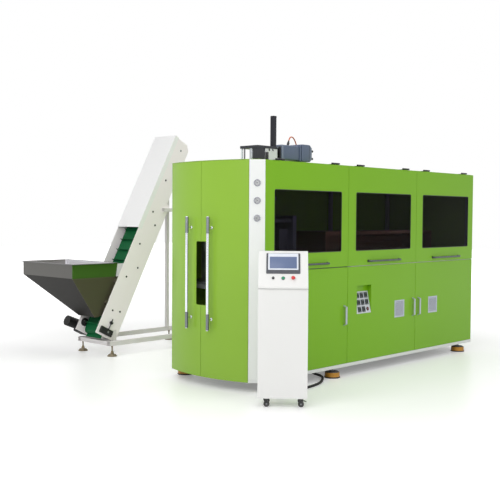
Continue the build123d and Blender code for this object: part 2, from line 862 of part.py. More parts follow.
for k in range(section_count):
    left, right = door_left[k], door_right[k]
    toward_free = 1 if hung_left[k] else -1
    free_edge = right if hung_left[k] else left
    hinge_edge = left if hung_left[k] else right
    with BuildPart() as lower_door:
        with BuildSketch(flat(left, 0, door_low)):
            Rectangle(right - left, door_depth, align=(Align.MIN, Align.MIN))
        extrude(amount=joint_low - door_low)
        fillet(lower_door.edges().filter_by(Axis.Z).group_by(Axis.Y)[0], door_fold)
        rear_face = lower_door.faces().sort_by(Axis.Y)[-1]
        offset(amount=-sheet, openings=rear_face)
        with BuildSketch(flat(hinge_edge, door_depth, door_low)):
            Rectangle(6 * sheet, 2 * hinge_relief)
        extrude(amount=joint_low - door_low, mode=Mode.SUBTRACT)
        for height, way in ((door_low, 1), (joint_low, -1)):
            with BuildSketch(flat(pivot_x[k], pivot_back, height)):
                Circle(pivot_boss / 2)
            extrude(amount=way * 1.5 * pivot_length)
        for height, way in ((door_low, 1), (joint_low, -1)):
            with BuildSketch(flat(pivot_x[k], pivot_back, height)):
                Circle(bore_radius)
            extrude(amount=way * (pivot_length + 1), mode=Mode.SUBTRACT)

        pull_x = free_edge - toward_free * pull_inset
        with BuildSketch(facing_right(pull_x - pull_width / 2, 0, 0)):
            with BuildLine():
                Polyline(
                    (0, pull_low),
                    (-pull_reach, pull_low + pull_slant),
                    (-pull_reach, pull_high - pull_slant),
                    (0, pull_high),
                    close=True,
                )
            make_face()
            with BuildLine():
                Polyline(
                    (0, pull_low + 1.2 * pull_strap),
                    (pull_strap - pull_reach, pull_low + pull_slant + 0.8 * pull_strap),
                    (pull_strap - pull_reach, pull_high - pull_slant - 0.8 * pull_strap),
                    (0, pull_high - 1.2 * pull_strap),
                    close=True,
                )
            make_face(mode=Mode.SUBTRACT)
        extrude(amount=pull_width)

        if k > 0:
            vent_x = vent_places[k - 1]
            sleeve = vent_size - 2 * vent_flange
            vent_middle = vent_low + vent_size / 2
            with BuildSketch(facing_front(vent_x, 0, vent_middle)):
                RectangleRounded(vent_size, vent_size, 4)
            extrude(amount=sheet)
            with BuildSketch(facing_front(vent_x, 0, vent_middle)):
                Rectangle(sleeve, sleeve)
            extrude(amount=-6 * sheet)
            with BuildSketch(facing_front(vent_x, -sheet, vent_middle)):
                Rectangle(sleeve - 2 * sheet, sleeve - 2 * sheet)
            extrude(amount=-7 * sheet, mode=Mode.SUBTRACT)
            blades = int(sleeve / louvre_pitch)
            for n in range(blades):
                low = vent_middle - sleeve / 2 + sheet + louvre + louvre_pitch * n
                with BuildSketch(facing_right(vent_x - (sleeve - sheet) / 2, 0, low)):
                    with BuildLine():
                        Polyline(
                            (-sheet / 2, 0),
                            (-sheet / 2, louvre),
                            (5 * sheet, louvre + 5.5 * sheet),
                            (5 * sheet, 5.5 * sheet),
                            close=True,
                        )
                    make_face()
                extrude(amount=sleeve - sheet)

        if k == 1:
            with BuildSketch(facing_right(recess_x - sheet, 0, 0)):
                with BuildLine():
                    Polyline(*[(max(y, 0), z) for y, z in recess_profile(sheet)[1:]], close=True)
                make_face()
            extrude(amount=recess_width + 2 * sheet)
            with BuildSketch(facing_right(recess_x, 0, 0)):
                with BuildLine():
                    Polyline(*recess_profile(0), close=True)
                make_face()
            extrude(amount=recess_width, mode=Mode.SUBTRACT)
    save(lower_door.part, f"lower_door_{k + 1}")

# Socket plate: a plate on the recess's slope with eight panel sockets and one round lens.
slope_rise = recess_high - recess_back_height - recess_low
slope_length = sqrt(slope_rise**2 + recess_depth**2)
slope = Plane(
    origin=at(recess_x + recess_width / 2, 0, recess_low),
    x_dir=(1, 0, 0),
    z_dir=(0, -slope_rise, recess_depth),
)
with BuildPart() as socket_panel:
    with BuildSketch(slope):
        with Locations((0, slope_length / 2)):
            Rectangle(recess_width - 6, slope_length - 10)
    extrude(amount=socket_plate)
    for column in (-1, 0, 1):
        for row in (-1, 0, 1):
            if (column, row) == (1, -1):
                continue
            with BuildSketch(slope.offset(socket_plate)):
                with Locations((column * socket_pitch, slope_length / 2 + row * socket_row_pitch)):
                    RectangleRounded(socket_width, socket_height, 3)
            extrude(amount=socket_proud)
            with BuildSketch(slope.offset(socket_plate + socket_proud)):
                with Locations((column * socket_pitch, slope_length / 2 + row * socket_row_pitch)):
                    RectangleRounded(0.7 * socket_width, 0.7 * socket_height, 2)
            extrude(amount=-0.8 * socket_proud, mode=Mode.SUBTRACT)
    with BuildSketch(slope.offset(socket_plate)):
        with Locations((socket_pitch, slope_length / 2 - socket_row_pitch)):
            Circle(0.36 * socket_width)
    extrude(amount=socket_proud, taper=15)
save(socket_panel.part, "socket_plate")

# End doors: curved sheet shells on pins at their outer edges, with half of the view
# slot cut from each, and a long bar handle on two posts.
seam_face_x = end_centre_x - end_radius
end_low = floor_gap + panel_gap
edge = degrees(sheet / end_radius)
for side, name in ((1, "front"), (-1, "rear")):
    first, last = sorted((side * seam_angle, side * leaf_angle))
    with BuildPart() as end_door:
        extrude(
            arc_band(end_low, end_radius, end_radius - door_depth, first, last),
            amount=door_top - end_low,
        )
        extrude(
            arc_band(
                end_low + sheet, end_radius - sheet, end_radius - door_depth - 1, first + edge, last - edge
            ),
            amount=door_top - end_low - 2 * sheet,
            mode=Mode.SUBTRACT,
        )
        seam_front = Plane(
            origin=at(seam_face_x, end_centre_y, (slot_low + slot_high) / 2),
            x_dir=(0, -1, 0),
            z_dir=(-1, 0, 0),
        )
        with BuildSketch(seam_front):
            RectangleRounded(2 * slot_half, slot_high - slot_low, slot_corner)
        extrude(amount=-door_depth - 5, mode=Mode.SUBTRACT)
        x, y = end_point(side * pivot_angle, end_radius - pivot_back)
        for height, way in ((end_low, 1), (door_top, -1)):
            with BuildSketch(flat(x, y, height)):
                Circle(pivot_boss / 2)
            extrude(amount=way * 1.5 * pivot_length)
        for height, way in ((end_low, 1), (door_top, -1)):
            with BuildSketch(flat(x, y, height)):
                Circle(bore_radius)
            extrude(amount=way * (pivot_length + 1), mode=Mode.SUBTRACT)
    save(end_door.part, f"end_door_{name}")

    grab_angle = side * degrees(asin(grab_offset / end_radius))
    bar_x, bar_y = end_point(grab_angle, end_radius + grab_reach - grab_bar / 2)
    face_x, face_y = end_point(grab_angle, end_radius)
    with BuildPart() as pull_handle:
        with BuildSketch(flat(bar_x, bar_y, grab_low)):
            Circle(grab_bar / 2)
        extrude(amount=grab_high - grab_low)
        fillet(pull_handle.edges().group_by(Axis.Z)[0] + pull_handle.edges().group_by(Axis.Z)[-1], 3)
        for height in (grab_low + grab_post_inset, grab_high - grab_post_inset):
            outward = Plane(
                origin=at(face_x, face_y, height),
                x_dir=(0, 0, 1),
                z_dir=(face_x - end_centre_x, face_y - end_centre_y, 0),
            )
            with BuildSketch(outward):
                Circle(grab_post / 2)
            extrude(amount=grab_reach - grab_bar / 2)
            with BuildSketch(outward):
                Circle(0.9 * grab_post)
            extrude(amount=4)
    save(pull_handle.part, f"pull_handle_{name}")

# Stretch unit: base and top plates, posts and a block between them.
unit_low = cabinet_height + unit_base
unit_plate_low = unit_top - unit_plate
unit_gap = unit_plate_low - unit_low
with BuildPart() as unit_base_plate:
    with BuildSketch(flat(0, 0, cabinet_height)):
        with Locations((unit_x - unit_base_margin, unit_y - unit_base_margin)):
            Rectangle(
                unit_width + 3 * unit_base_margin,
                unit_depth + 2 * unit_base_margin,
                align=(Align.MIN, Align.MIN),
            )
        with Locations((rack_x, rack_y)):
            Rectangle(rack_width + rack_slot, rack_depth + rack_slot, mode=Mode.SUBTRACT)
    extrude(amount=unit_base)
with BuildPart() as unit_top_plate:
    with BuildSketch(flat(0, 0, unit_plate_low)):
        with Locations((unit_x + unit_width / 2, unit_y + unit_depth / 2)):
            RectangleRounded(unit_width, unit_depth, 4)
        with Locations((rack_x + rack_slot / 2, rack_y)):
            Rectangle(rack_width + 2 * rack_slot, rack_depth + rack_slot, mode=Mode.SUBTRACT)
    extrude(amount=unit_plate)
unit_posts = [
    (thin_post_place, thin_post),
    (light_post_place, light_post),
    (thick_post_place, thick_post),
]
unit_parts = [unit_base_plate.part, unit_top_plate.part]
unit_parts.append(block(*unit_block_place, unit_low, *unit_block_size, unit_gap))
for (x, y), size in unit_posts:
    unit_parts.append(rod(flat(x, y, unit_low), size, unit_gap))
save_group(unit_parts, "stretch_frame")

# Rack housing, with the guide that the rack slides in.
with BuildPart() as rack_housing:
    with BuildSketch(flat(housing_x, housing_y, unit_low)):
        Rectangle(housing_width, housing_depth, align=(Align.MIN, Align.MIN))
        with Locations((rack_x - housing_x, rack_y - housing_y)):
            Rectangle(rack_width + 2 * rack_gap, rack_depth + 2 * rack_gap, mode=Mode.SUBTRACT)
    extrude(amount=unit_gap)
    for x in (housing_x + 22, housing_x + 96):
        with BuildSketch(facing_front(x, housing_y, unit_plate_low - 22)):
            RegularPolygon(7, 6)
        extrude(amount=5)
save(rack_housing.part, "rack_housing")

# Rack: a bar with teeth cut along its right side.
tooth_count = int(rack_length / rack_pitch) - 2
with BuildPart() as stretch_rack:
    with BuildSketch(flat(rack_x, rack_y, rack_low)):
        Rectangle(rack_width, rack_depth)
    extrude(amount=rack_length)
    gullet = rack_x + rack_width / 2 + 1
    front_of_rack = rack_y - rack_depth / 2
    for n in range(tooth_count):
        low = rack_low + rack_pitch * (n + 1)
        with BuildSketch(facing_back(gullet, front_of_rack, low)):
            with BuildLine():
                Polyline(
                    (0, 0),
                    (0.6 * rack_pitch, 0),
                    (0.45 * rack_pitch, -rack_tooth),
                    (0.15 * rack_pitch, -rack_tooth),
                    close=True,
                )
            make_face()
        extrude(amount=rack_depth, mode=Mode.SUBTRACT)
save(stretch_rack.part, "stretch_rack")

# Stretch carriage: a beam on the rack's lower end with two stretch rods.
with BuildPart() as stretch_carriage:
    with BuildSketch(flat((rack_x + mould_face_x) / 2, mould_y, rack_low - carriage_height)):
        Rectangle(carriage_width, carriage_depth)
    extrude(amount=carriage_height)
    for way in (-1, 1):
        y = mould_y + way * cavity_spacing / 2
        with BuildSketch(flat(mould_face_x, y, rack_low - carriage_height)):
            Circle(stretch_rod)
        extrude(amount=-8)
        with BuildSketch(flat(mould_face_x, y, rod_low)):
            Circle(stretch_rod / 2)
        extrude(amount=rack_low - rod_low)
save(stretch_carriage.part, "stretch_carriage")

# Servo motor: gearbox flange, body in two lengths, end cap, and the tilted connector
# that its cable leaves from.
flange_x = housing_x + housing_width
body_x = flange_x + flange_length
rear_x = body_x + motor_front
cap_x = rear_x + motor_rear
cable_heading = (gland_x - cable_start_x, gland_y - cable_start_y)
cable_span = sqrt(cable_heading[0] ** 2 + cable_heading[1] ** 2)
cable_way = (cable_heading[0] / cable_span, cable_heading[1] / cable_span)
lean = radians(60)
connector_axis = (cable_way[0] * cos(lean), cable_way[1] * cos(lean), sin(lean))
with BuildPart() as servo_motor:
    with BuildSketch(facing_right(flange_x, motor_y, motor_height)):
        RectangleRounded(flange_size, flange_size, 12)
    extrude(amount=flange_length)
    with BuildSketch(facing_right(body_x, motor_y, motor_height)):
        RectangleRounded(motor_size, motor_size, 10)
    extrude(amount=12)
    with BuildSketch(facing_right(body_x + 12, motor_y, motor_height)):
        RectangleRounded(motor_size - 8, motor_size - 8, 14)
    extrude(amount=motor_front - 24)
    with BuildSketch(facing_right(rear_x - 12, motor_y, motor_height)):
        RectangleRounded(motor_size, motor_size, 10)
    extrude(amount=12)
    with BuildSketch(facing_right(rear_x, motor_y, motor_height)):
        RectangleRounded(motor_size - 6, motor_size - 6, 16)
    extrude(amount=motor_rear)
    with BuildSketch(facing_right(cap_x, motor_y, motor_height)):
        RectangleRounded(motor_size - 6, motor_size - 6, 28)
    with BuildSketch(facing_right(cap_x + motor_cap, motor_y, motor_height)):
        RectangleRounded(motor_cap_end, motor_cap_end, 20)
    loft()
    stub_base = [
        p - connector_length * a
        for p, a in zip((cable_start_x, cable_start_y, cable_start_z), connector_axis)
    ]
    with BuildSketch(Plane(origin=at(*stub_base), z_dir=connector_axis)):
        Circle(connector / 2)
    extrude(amount=connector_length)
    for way in (-1, 1):
        for height in (-1, 1):
            bolt_y = motor_y + way * 0.36 * motor_size
            bolt_z = motor_height + height * 0.36 * motor_size
            with BuildSketch(facing_right(cap_x + 0.1 * motor_cap, bolt_y, bolt_z)):
                RegularPolygon(7, 6)
            extrude(amount=0.3 * motor_cap)
save(servo_motor.part, "servo_motor")


def bend_radii(points):
    """One radius per corner: 0.45 of the shorter run beside it over the half turn's tangent."""
    radii = []
    for before, corner, after in zip(points, points[1:], points[2:]):
        run_in = Vector(*corner) - Vector(*before)
        run_out = Vector(*after) - Vector(*corner)
        half_turn = radians(run_in.get_angle(run_out)) / 2
        radii.append(0.45 * min(run_in.length, run_out.length) / tan(half_turn))
    return radii


def free_cord(points, diameter, name):
    """A flexible line along straight runs and arcs. Its length and radii are printed."""
    radii = bend_radii(points)
    with BuildPart() as cord:
        with BuildLine() as centre_line:
            FilletPolyline(*points, radius=radii)
        path = centre_line.wires()[0]
        with BuildSketch(Plane(origin=path @ 0, z_dir=path % 0)):
            Circle(diameter / 2)
        sweep(path=path)
    print(name, "length", round(path.length, 1), "radii", [round(r, 1) for r in radii])
    save(cord.part, name)


# Motor cable: out of the connector, over the motor's side and down to the roof gland.
cable_runs = [(60, 42), (30, 62), (0, 90), (-30, 112), (-60, 132)]
along, height = 0.0, cable_start_z
cable_points = [at(cable_start_x, cable_start_y, cable_start_z)]
for slope_angle, run in cable_runs:
    along += run * cos(radians(slope_angle))
    height += run * sin(radians(slope_angle))
    along = min(along, cable_span)
    cable_points.append(
        at(cable_start_x + cable_way[0] * along, cable_start_y + cable_way[1] * along, height)
    )
cable_points.append(at(gland_x, gland_y, cable_end_height))
free_cord(cable_points, motor_cable_size, "motor_cable")

# Fixed mould: clamp platen and cylinder, tie bars, front platen and one mould half.
mould_middle = (mould_low + mould_high) / 2
fixed_back = mould_face_x + mould_half
bar_y = platen_width / 2 - tie_inset
bar_z = (platen_high - platen_low) / 2 - tie_inset
platen_middle = (platen_high + platen_low) / 2
bar_places = [(mould_y + a * bar_y, platen_middle + b * bar_z) for a in (-1, 1) for b in (-1, 1)]


def cavities(face_x):
    """The shape of two bottles and their necks, centred on a mould's parting face."""
    with BuildPart() as bottles:
        for way in (-1, 1):
            y = mould_y + way * cavity_spacing / 2
            with BuildSketch(flat(face_x, y, mould_high - cavity_depth)):
                Circle(cavity / 2)
            extrude(amount=cavity_depth - cavity_neck)
            with BuildSketch(flat(face_x, y, mould_high - cavity_neck)):
                Circle(cavity_neck / 2)
            extrude(amount=cavity_neck + 1)
    return bottles.part


with BuildPart() as fixed_mould:
    for x in (clamp_x, fixed_back):
        with BuildSketch(facing_right(x, mould_y, (bed_height + platen_high) / 2)):
            Rectangle(platen_width, platen_high - bed_height)
        extrude(amount=platen)
    for y, z in bar_places:
        with BuildSketch(facing_right(clamp_x, y, z)):
            Circle(tie_bar / 2)
        extrude(amount=fixed_back - clamp_x)
    with BuildSketch(facing_right(clamp_x - clamp_back, mould_y, mould_middle)):
        Circle(clamp_case / 2)
    extrude(amount=clamp_back + platen + clamp_front)
    with BuildSketch(facing_right(clamp_x - clamp_back, mould_y, mould_middle)):
        Circle(clamp_bore / 2 + running_gap)
    extrude(amount=clamp_back + platen + clamp_front, mode=Mode.SUBTRACT)
    with BuildSketch(facing_right(mould_face_x, mould_y, mould_middle)):
        Rectangle(mould_width, mould_high - mould_low)
    extrude(amount=mould_half)
    add(cavities(mould_face_x), mode=Mode.SUBTRACT)
save(fixed_mould.part, "fixed_mould")

# Moving mould: a platen that rides on the tie bars, its ram and the other mould half.
moving_face = mould_face_x - mould_open
moving_platen = moving_face - mould_half - platen
ram_length = moving_platen - clamp_x + clamp_back - 10
with BuildPart() as moving_mould:
    with BuildSketch(facing_right(moving_platen, mould_y, platen_middle)):
        Rectangle(platen_width, platen_high - platen_low)
        for y, z in bar_places:
            with Locations((y - mould_y, z - platen_middle)):
                Circle(tie_bar / 2 + running_gap, mode=Mode.SUBTRACT)
    extrude(amount=platen)
    with BuildSketch(facing_right(moving_platen, mould_y, mould_middle)):
        Circle(clamp_bore / 2)
    extrude(amount=-ram_length)
    with BuildSketch(facing_right(moving_platen + platen, mould_y, mould_middle)):
        Rectangle(mould_width, mould_high - mould_low)
    extrude(amount=mould_half)
    add(cavities(moving_face), mode=Mode.SUBTRACT)
save(moving_mould.part, "moving_mould")

# Heating oven: a channel open to the front, with end cheeks and lamp tubes between them.
oven_y = mould_y - oven_width / 2
with BuildPart() as heating_oven:
    with BuildSketch(flat(oven_left, oven_y, bed_height)):
        Rectangle(oven_length, oven_width, align=(Align.MIN, Align.MIN))
    extrude(amount=oven_height)
    with BuildSketch(flat(oven_left + oven_wall, oven_y, bed_height + oven_wall)):
        Rectangle(oven_length - 2 * oven_wall, oven_width - oven_wall, align=(Align.MIN, Align.MIN))
    extrude(amount=oven_height - 2 * oven_wall, mode=Mode.SUBTRACT)
    lamp_pitch = (oven_height - 2 * oven_wall) / lamp_count
    for n in range(lamp_count):
        z = bed_height + oven_wall + lamp_pitch * (n + 0.5)
        with BuildSketch(facing_right(oven_left + oven_wall, oven_y + oven_width - 2.5 * oven_wall, z)):
            Circle(lamp / 2)
        extrude(amount=oven_length - 2 * oven_wall)
save(heating_oven.part, "heating_oven")

# Elevator. Everything in its run is placed along the incline from the tail drum: s up
# the run, n out of its carrying side.
rise = radians(incline)


def on_run(s, n, y):
    """A point s up the run and n out of its carrying side."""
    return at(tail_x + s * cos(rise) - n * sin(rise), y, tail_z + s * sin(rise) + n * cos(rise))


def run_plane(y, s=0.0, n=0.0):
    """A sketch plane across the width: x up the run, y out of its carrying side."""
    return Plane(origin=on_run(s, n, y), x_dir=(cos(rise), 0, sin(rise)), z_dir=(0, -1, 0))


trough_far = trough_near + trough_width
trough_middle = trough_near + trough_width / 2
frame_high = frame_low + frame_tube
frame_depth = frame_far - frame_near
frame_length = frame_right - frame_left
elevator = [
    tube_along_x(frame_left, frame_near, frame_low, frame_length, frame_tube, frame_tube),
    tube_along_x(frame_left, frame_far - frame_tube, frame_low, frame_length, frame_tube, frame_tube),
]
for x in (frame_left, frame_cross, frame_right - frame_tube):
    elevator.append(
        tube_along_y(
            x, frame_near + frame_tube, frame_low, frame_depth - 2 * frame_tube, frame_tube, frame_tube
        )
    )
for y in (frame_near, frame_far - tube):
    elevator.append(tube_upright(post_x, y, frame_high, post_top - frame_high))
elevator.append(tube_along_y(post_x, frame_near + tube, arm_low, frame_depth - 2 * tube))
for y in (trough_near - tube, trough_far):
    elevator.append(tube_along_x(arm_start, y, arm_low, post_x - arm_start))
for y in (trough_near - 6, trough_far):
    elevator.append(block(frame_cross, y, frame_high, frame_tube, 6, 110))
for x in (frame_left + frame_tube, frame_right - frame_tube):
    for y in (frame_near + frame_tube / 2, frame_far - frame_tube / 2):
        with BuildPart() as elevator_leg:
            with BuildSketch(flat(x, y, 0)):
                Circle(elevator_foot / 2)
            extrude(amount=8)
            with BuildSketch(flat(x, y, 8)):
                Circle(elevator_foot / 2 - 3)
            extrude(amount=16, taper=35)
            with BuildSketch(flat(x, y, 8)):
                Circle(elevator_hub / 2)
            extrude(amount=50, taper=12)
            with BuildSketch(flat(x, y, 8)):
                Circle(8)
            extrude(amount=frame_low - 8)
            with BuildSketch(flat(x, y, frame_low - 14)):
                RegularPolygon(13, 6)
            extrude(amount=14)
        elevator.append(elevator_leg.part)
save_group(elevator, "elevator_frame")

# Side plates and under-pan. The plates carry the head drum's shaft in plain bores and
# are slotted at the tail, so that the take-up blocks can slide to tension the belt.
take_up_slot = 60.0
plates = []
for y in (trough_near, trough_far - trough_sheet):
    with BuildPart() as side_plate:
        with BuildSketch(run_plane(y)):
            with BuildLine():
                Polyline(
                    (-trough_tail, trough_front),
                    (drum_distance + trough_head, trough_front),
                    (drum_distance + trough_head, -trough_back / 2),
                    (drum_distance + trough_head / 2, -trough_back),
                    (-trough_tail, -trough_back),
                    close=True,
                )
            make_face()
            with Locations((drum_distance, 0)):
                Circle(drum_shaft / 2 + running_gap, mode=Mode.SUBTRACT)
            SlotOverall(take_up_slot + drum_shaft, drum_shaft + 1, mode=Mode.SUBTRACT)
        extrude(amount=-trough_sheet)
    plates.append(side_plate.part)
with BuildPart() as under_pan:
    with BuildSketch(run_plane(trough_near)):
        with Locations(((pan_start + pan_end) / 2, -trough_back - pan_depth / 2)):
            Rectangle(pan_end - pan_start, pan_depth)
    extrude(amount=-trough_width)
    with BuildSketch(run_plane(trough_near + sheet)):
        with Locations(((pan_start + pan_end) / 2, -trough_back - (pan_depth - sheet) / 2)):
            Rectangle(pan_end - pan_start - 2 * sheet, pan_depth - sheet)
    extrude(amount=-trough_width + 2 * sheet, mode=Mode.SUBTRACT)
plates.append(under_pan.part)
save_group(plates, "side_plates")

# Cover over the upper part of the run: a folded channel that grips the side plates.
cover_end = drum_distance + trough_head + 10
with BuildPart() as belt_cover:
    with BuildSketch(run_plane(trough_near - sheet)):
        with Locations(((cover_start + cover_end) / 2, cover_height - (cover_side + sheet) / 2)):
            Rectangle(cover_end - cover_start, cover_side + sheet)
    extrude(amount=-trough_width - 2 * sheet)
    with BuildSketch(run_plane(trough_near)):
        with Locations(((cover_start + cover_end) / 2, cover_height - sheet - cover_side / 2)):
            Rectangle(cover_end - cover_start + 4, cover_side)
    extrude(amount=-trough_width, mode=Mode.SUBTRACT)
save(belt_cover.part, "belt_cover")

# Cleated belt: a closed band round both drums with cleats at an even pitch. A cleat
# stands square to the straight runs and along the radius where it passes over a drum.
belt_inner = drum / 2 + belt_gap
belt_outer = belt_inner + belt
half_wrap = pi * belt_outer
belt_length = 2 * drum_distance + 2 * half_wrap
belt_near = trough_middle - belt_width / 2
cleat_near = trough_middle - cleat_width / 2
with BuildPart() as cleated_belt:
    with BuildSketch(run_plane(belt_near)):
        with Locations((drum_distance / 2, 0)):
            SlotCenterToCenter(drum_distance, 2 * belt_outer)
            SlotCenterToCenter(drum_distance, 2 * belt_inner, mode=Mode.SUBTRACT)
    extrude(amount=-belt_width)
    for n in range(cleat_count):
        travel = (n + 0.4) * belt_length / cleat_count
        if travel < drum_distance:
            foot, turn = (travel, 0.0), 90.0
        elif travel < drum_distance + half_wrap:
            foot, turn = (drum_distance, 0.0), 90.0 - degrees((travel - drum_distance) / belt_outer)
        elif travel < 2 * drum_distance + half_wrap:
            foot, turn = (2 * drum_distance + half_wrap - travel, 0.0), -90.0
        else:
            foot, turn = (0.0, 0.0), -90.0 - degrees((travel - belt_length + half_wrap) / belt_outer)
        with BuildSketch(run_plane(cleat_near)):
            with Locations(Location((foot[0], foot[1], 0), (0, 0, turn))):
                with Locations((belt_outer - belt / 2 + cleat_height / 2, 0)):
                    Rectangle(cleat_height + belt, cleat)
        extrude(amount=-cleat_width)
save(cleated_belt.part, "cleated_belt")

# Drums on their shafts. The tail shaft passes through the take-up blocks, and on the
# far side it runs on into the gear motor.
gearbox_depth = 120.0
shaft_spans = {
    "head_drum": (drum_distance, trough_near, trough_far),
    "tail_drum": (0.0, trough_near - take_up_depth, trough_far + take_up_depth + gearbox_depth / 2),
}
for name, (s, near, far) in shaft_spans.items():
    with BuildPart() as drum_solid:
        with BuildSketch(run_plane(belt_near, s)):
            Circle(drum / 2)
        extrude(amount=-belt_width)
        with BuildSketch(run_plane(near, s)):
            Circle(drum_shaft / 2)
        extrude(amount=near - far)
    save(drum_solid.part, name)

# Take-up blocks on the outsides of the side plates.
take_ups = []
for y in (trough_near - take_up_depth, trough_far):
    with BuildPart() as take_up:
        with BuildSketch(run_plane(y)):
            with Locations((-3, 21)):
                RectangleRounded(take_up_width, take_up_length, 4)
            Circle(drum_shaft / 2 + running_gap, mode=Mode.SUBTRACT)
        extrude(amount=-take_up_depth)
    take_ups.append(take_up.part)
save_group(take_ups, "take_up_blocks")

# Gear motor: a gearbox on the tail shaft and a motor that leans up to the left.
gearbox_near = trough_far + take_up_depth
gearbox_size = 130.0
drive_motor = 116.0
drive_length = 150.0
drive_lean = radians(22)
with BuildPart() as gear_motor:
    with BuildSketch(run_plane(gearbox_near)):
        RectangleRounded(gearbox_size, gearbox_size, 14)
    extrude(amount=-gearbox_depth)
    drive_axis = (-cos(drive_lean), 0, sin(drive_lean))
    with BuildSketch(Plane(origin=at(tail_x, gearbox_near + gearbox_depth / 2, tail_z + 20), z_dir=drive_axis)):
        Circle(drive_motor / 2 - 14)
    extrude(amount=gearbox_size / 2 + drive_length)
    with BuildSketch(
        Plane(
            origin=at(
                tail_x - cos(drive_lean) * (gearbox_size / 2 + 12),
                gearbox_near + gearbox_depth / 2,
                tail_z + 20 + sin(drive_lean) * (gearbox_size / 2 + 12),
            ),
            z_dir=drive_axis,
        )
    ):
        Circle(drive_motor / 2)
    extrude(amount=drive_length)
    with BuildSketch(run_plane(gearbox_near)):
        Circle(drum_shaft / 2 + running_gap)
    extrude(amount=-gearbox_depth / 2 - 2, mode=Mode.SUBTRACT)
save(gear_motor.part, "gear_motor")


# Hopper: a skirt and a cone of thin sheet, open above and below, with a turned-out lip
# and two flanges that rest against the front edges of the elevator's side plates.
hopper_levels = [
    (hopper_mouth, hopper_mouth_left, hopper_mouth_right, hopper_mouth_far),
    (hopper_waist, hopper_left, hopper_waist_right, hopper_far),
    (hopper_top, hopper_left, hopper_right, hopper_far),
]


def hopper_section(level, left, right, far, inset):
    with BuildSketch(flat((left + right) / 2, (hopper_near + far) / 2, level)) as section:
        Rectangle(right - left - 2 * inset, far - hopper_near - 2 * inset)
    return section.sketch


with BuildPart() as hopper:
    for low, high in zip(hopper_levels, hopper_levels[1:]):
        loft(sections=[hopper_section(*low, 0), hopper_section(*high, 0)], ruled=True)
    for s in hopper_flange_places:
        with BuildSketch(run_plane(trough_near, s, trough_front)):
            with Locations((0, 2.5)):
                Rectangle(hopper_flange, 5)
        extrude(amount=-trough_width)
    for low, high in zip(hopper_levels, hopper_levels[1:]):
        loft(
            sections=[hopper_section(*low, hopper_sheet), hopper_section(*high, hopper_sheet)],
            ruled=True,
            mode=Mode.SUBTRACT,
        )
    with BuildSketch(flat((hopper_left + hopper_right) / 2, (hopper_near + hopper_far) / 2, hopper_top)):
        Rectangle(
            hopper_right - hopper_left + 2 * hopper_lip, hopper_far - hopper_near + 2 * hopper_lip
        )
        Rectangle(
            hopper_right - hopper_left - 2 * hopper_sheet,
            hopper_far - hopper_near - 2 * hopper_sheet,
            mode=Mode.SUBTRACT,
        )
    extrude(amount=-hopper_sheet)
save(hopper.part, "hopper")

# Pedestal, turned to the operator. Its own places are measured to the right, to the
# back and up from its front left corner.
heading = radians(pedestal_turn)
right_way = (cos(heading), sin(heading), 0)
back_way = (-sin(heading), cos(heading), 0)


def beside(right, back, z):
    """A point measured square to the pedestal's own sides."""
    return at(
        pedestal_x + right * right_way[0] + back * back_way[0],
        pedestal_y + right * right_way[1] + back * back_way[1],
        z,
    )


def pedestal_flat(right, back, z):
    return Plane(origin=beside(right, back, z), x_dir=right_way)


def pedestal_side(right, back, z):
    """A sketch plane across the pedestal: x to its back, y up, out to its right."""
    return Plane(origin=beside(right, back, z), x_dir=back_way, z_dir=right_way)


def pedestal_rear(right, back, z):
    """A sketch plane on the pedestal's rear face: x to its right, y down."""
    return Plane(origin=beside(right, back, z), x_dir=right_way, z_dir=back_way)


castor_places = [
    (right, back)
    for back in (castor_inset_front, pedestal_depth - castor_inset_front)
    for right in (castor_inset_side, pedestal_width - castor_inset_side)
]
exit_right = pedestal_width / 2
with BuildPart() as pedestal_body:
    with BuildSketch(pedestal_flat(0, 0, pedestal_low)):
        Rectangle(pedestal_width, pedestal_depth, align=(Align.MIN, Align.MIN))
    extrude(amount=head_low - pedestal_low)
    top_face = pedestal_body.faces().sort_by(Axis.Z)[-1]
    offset(amount=-sheet, openings=top_face)
    for right, back in castor_places:
        with BuildSketch(pedestal_flat(right, back, pedestal_low)):
            Rectangle(castor_plate_long, castor_plate_short)
        extrude(amount=-castor_plate)
        with BuildSketch(pedestal_flat(right, back, pedestal_low)):
            Circle(castor_pin / 2)
        extrude(amount=-castor_plate - 9)
    with BuildSketch(pedestal_rear(exit_right, pedestal_depth, conduit_exit)):
        RegularPolygon(gland / 2, 6)
    extrude(amount=gland_length)
save(pedestal_body.part, "pedestal_body")

# Console head: a sheet shell with a sloping face. The face has an opening behind the
# screen and three sleeves that the switch and the buttons work in.
tilt = radians(head_tilt)
face_base = head_low + head_front
face_top_back = (head_high - face_base) * tan(tilt) - head_overhang
face_out = (-back_way[0] * cos(tilt), -back_way[1] * cos(tilt), sin(tilt))


def head_face(right, drop, out=0.0):
    """A sketch plane on the sloping face, a drop below its top edge."""
    back = face_top_back - drop * sin(tilt) - out * cos(tilt)
    z = head_high - drop * cos(tilt) + out * sin(tilt)
    return Plane(origin=beside(right, back, z), x_dir=right_way, z_dir=face_out)


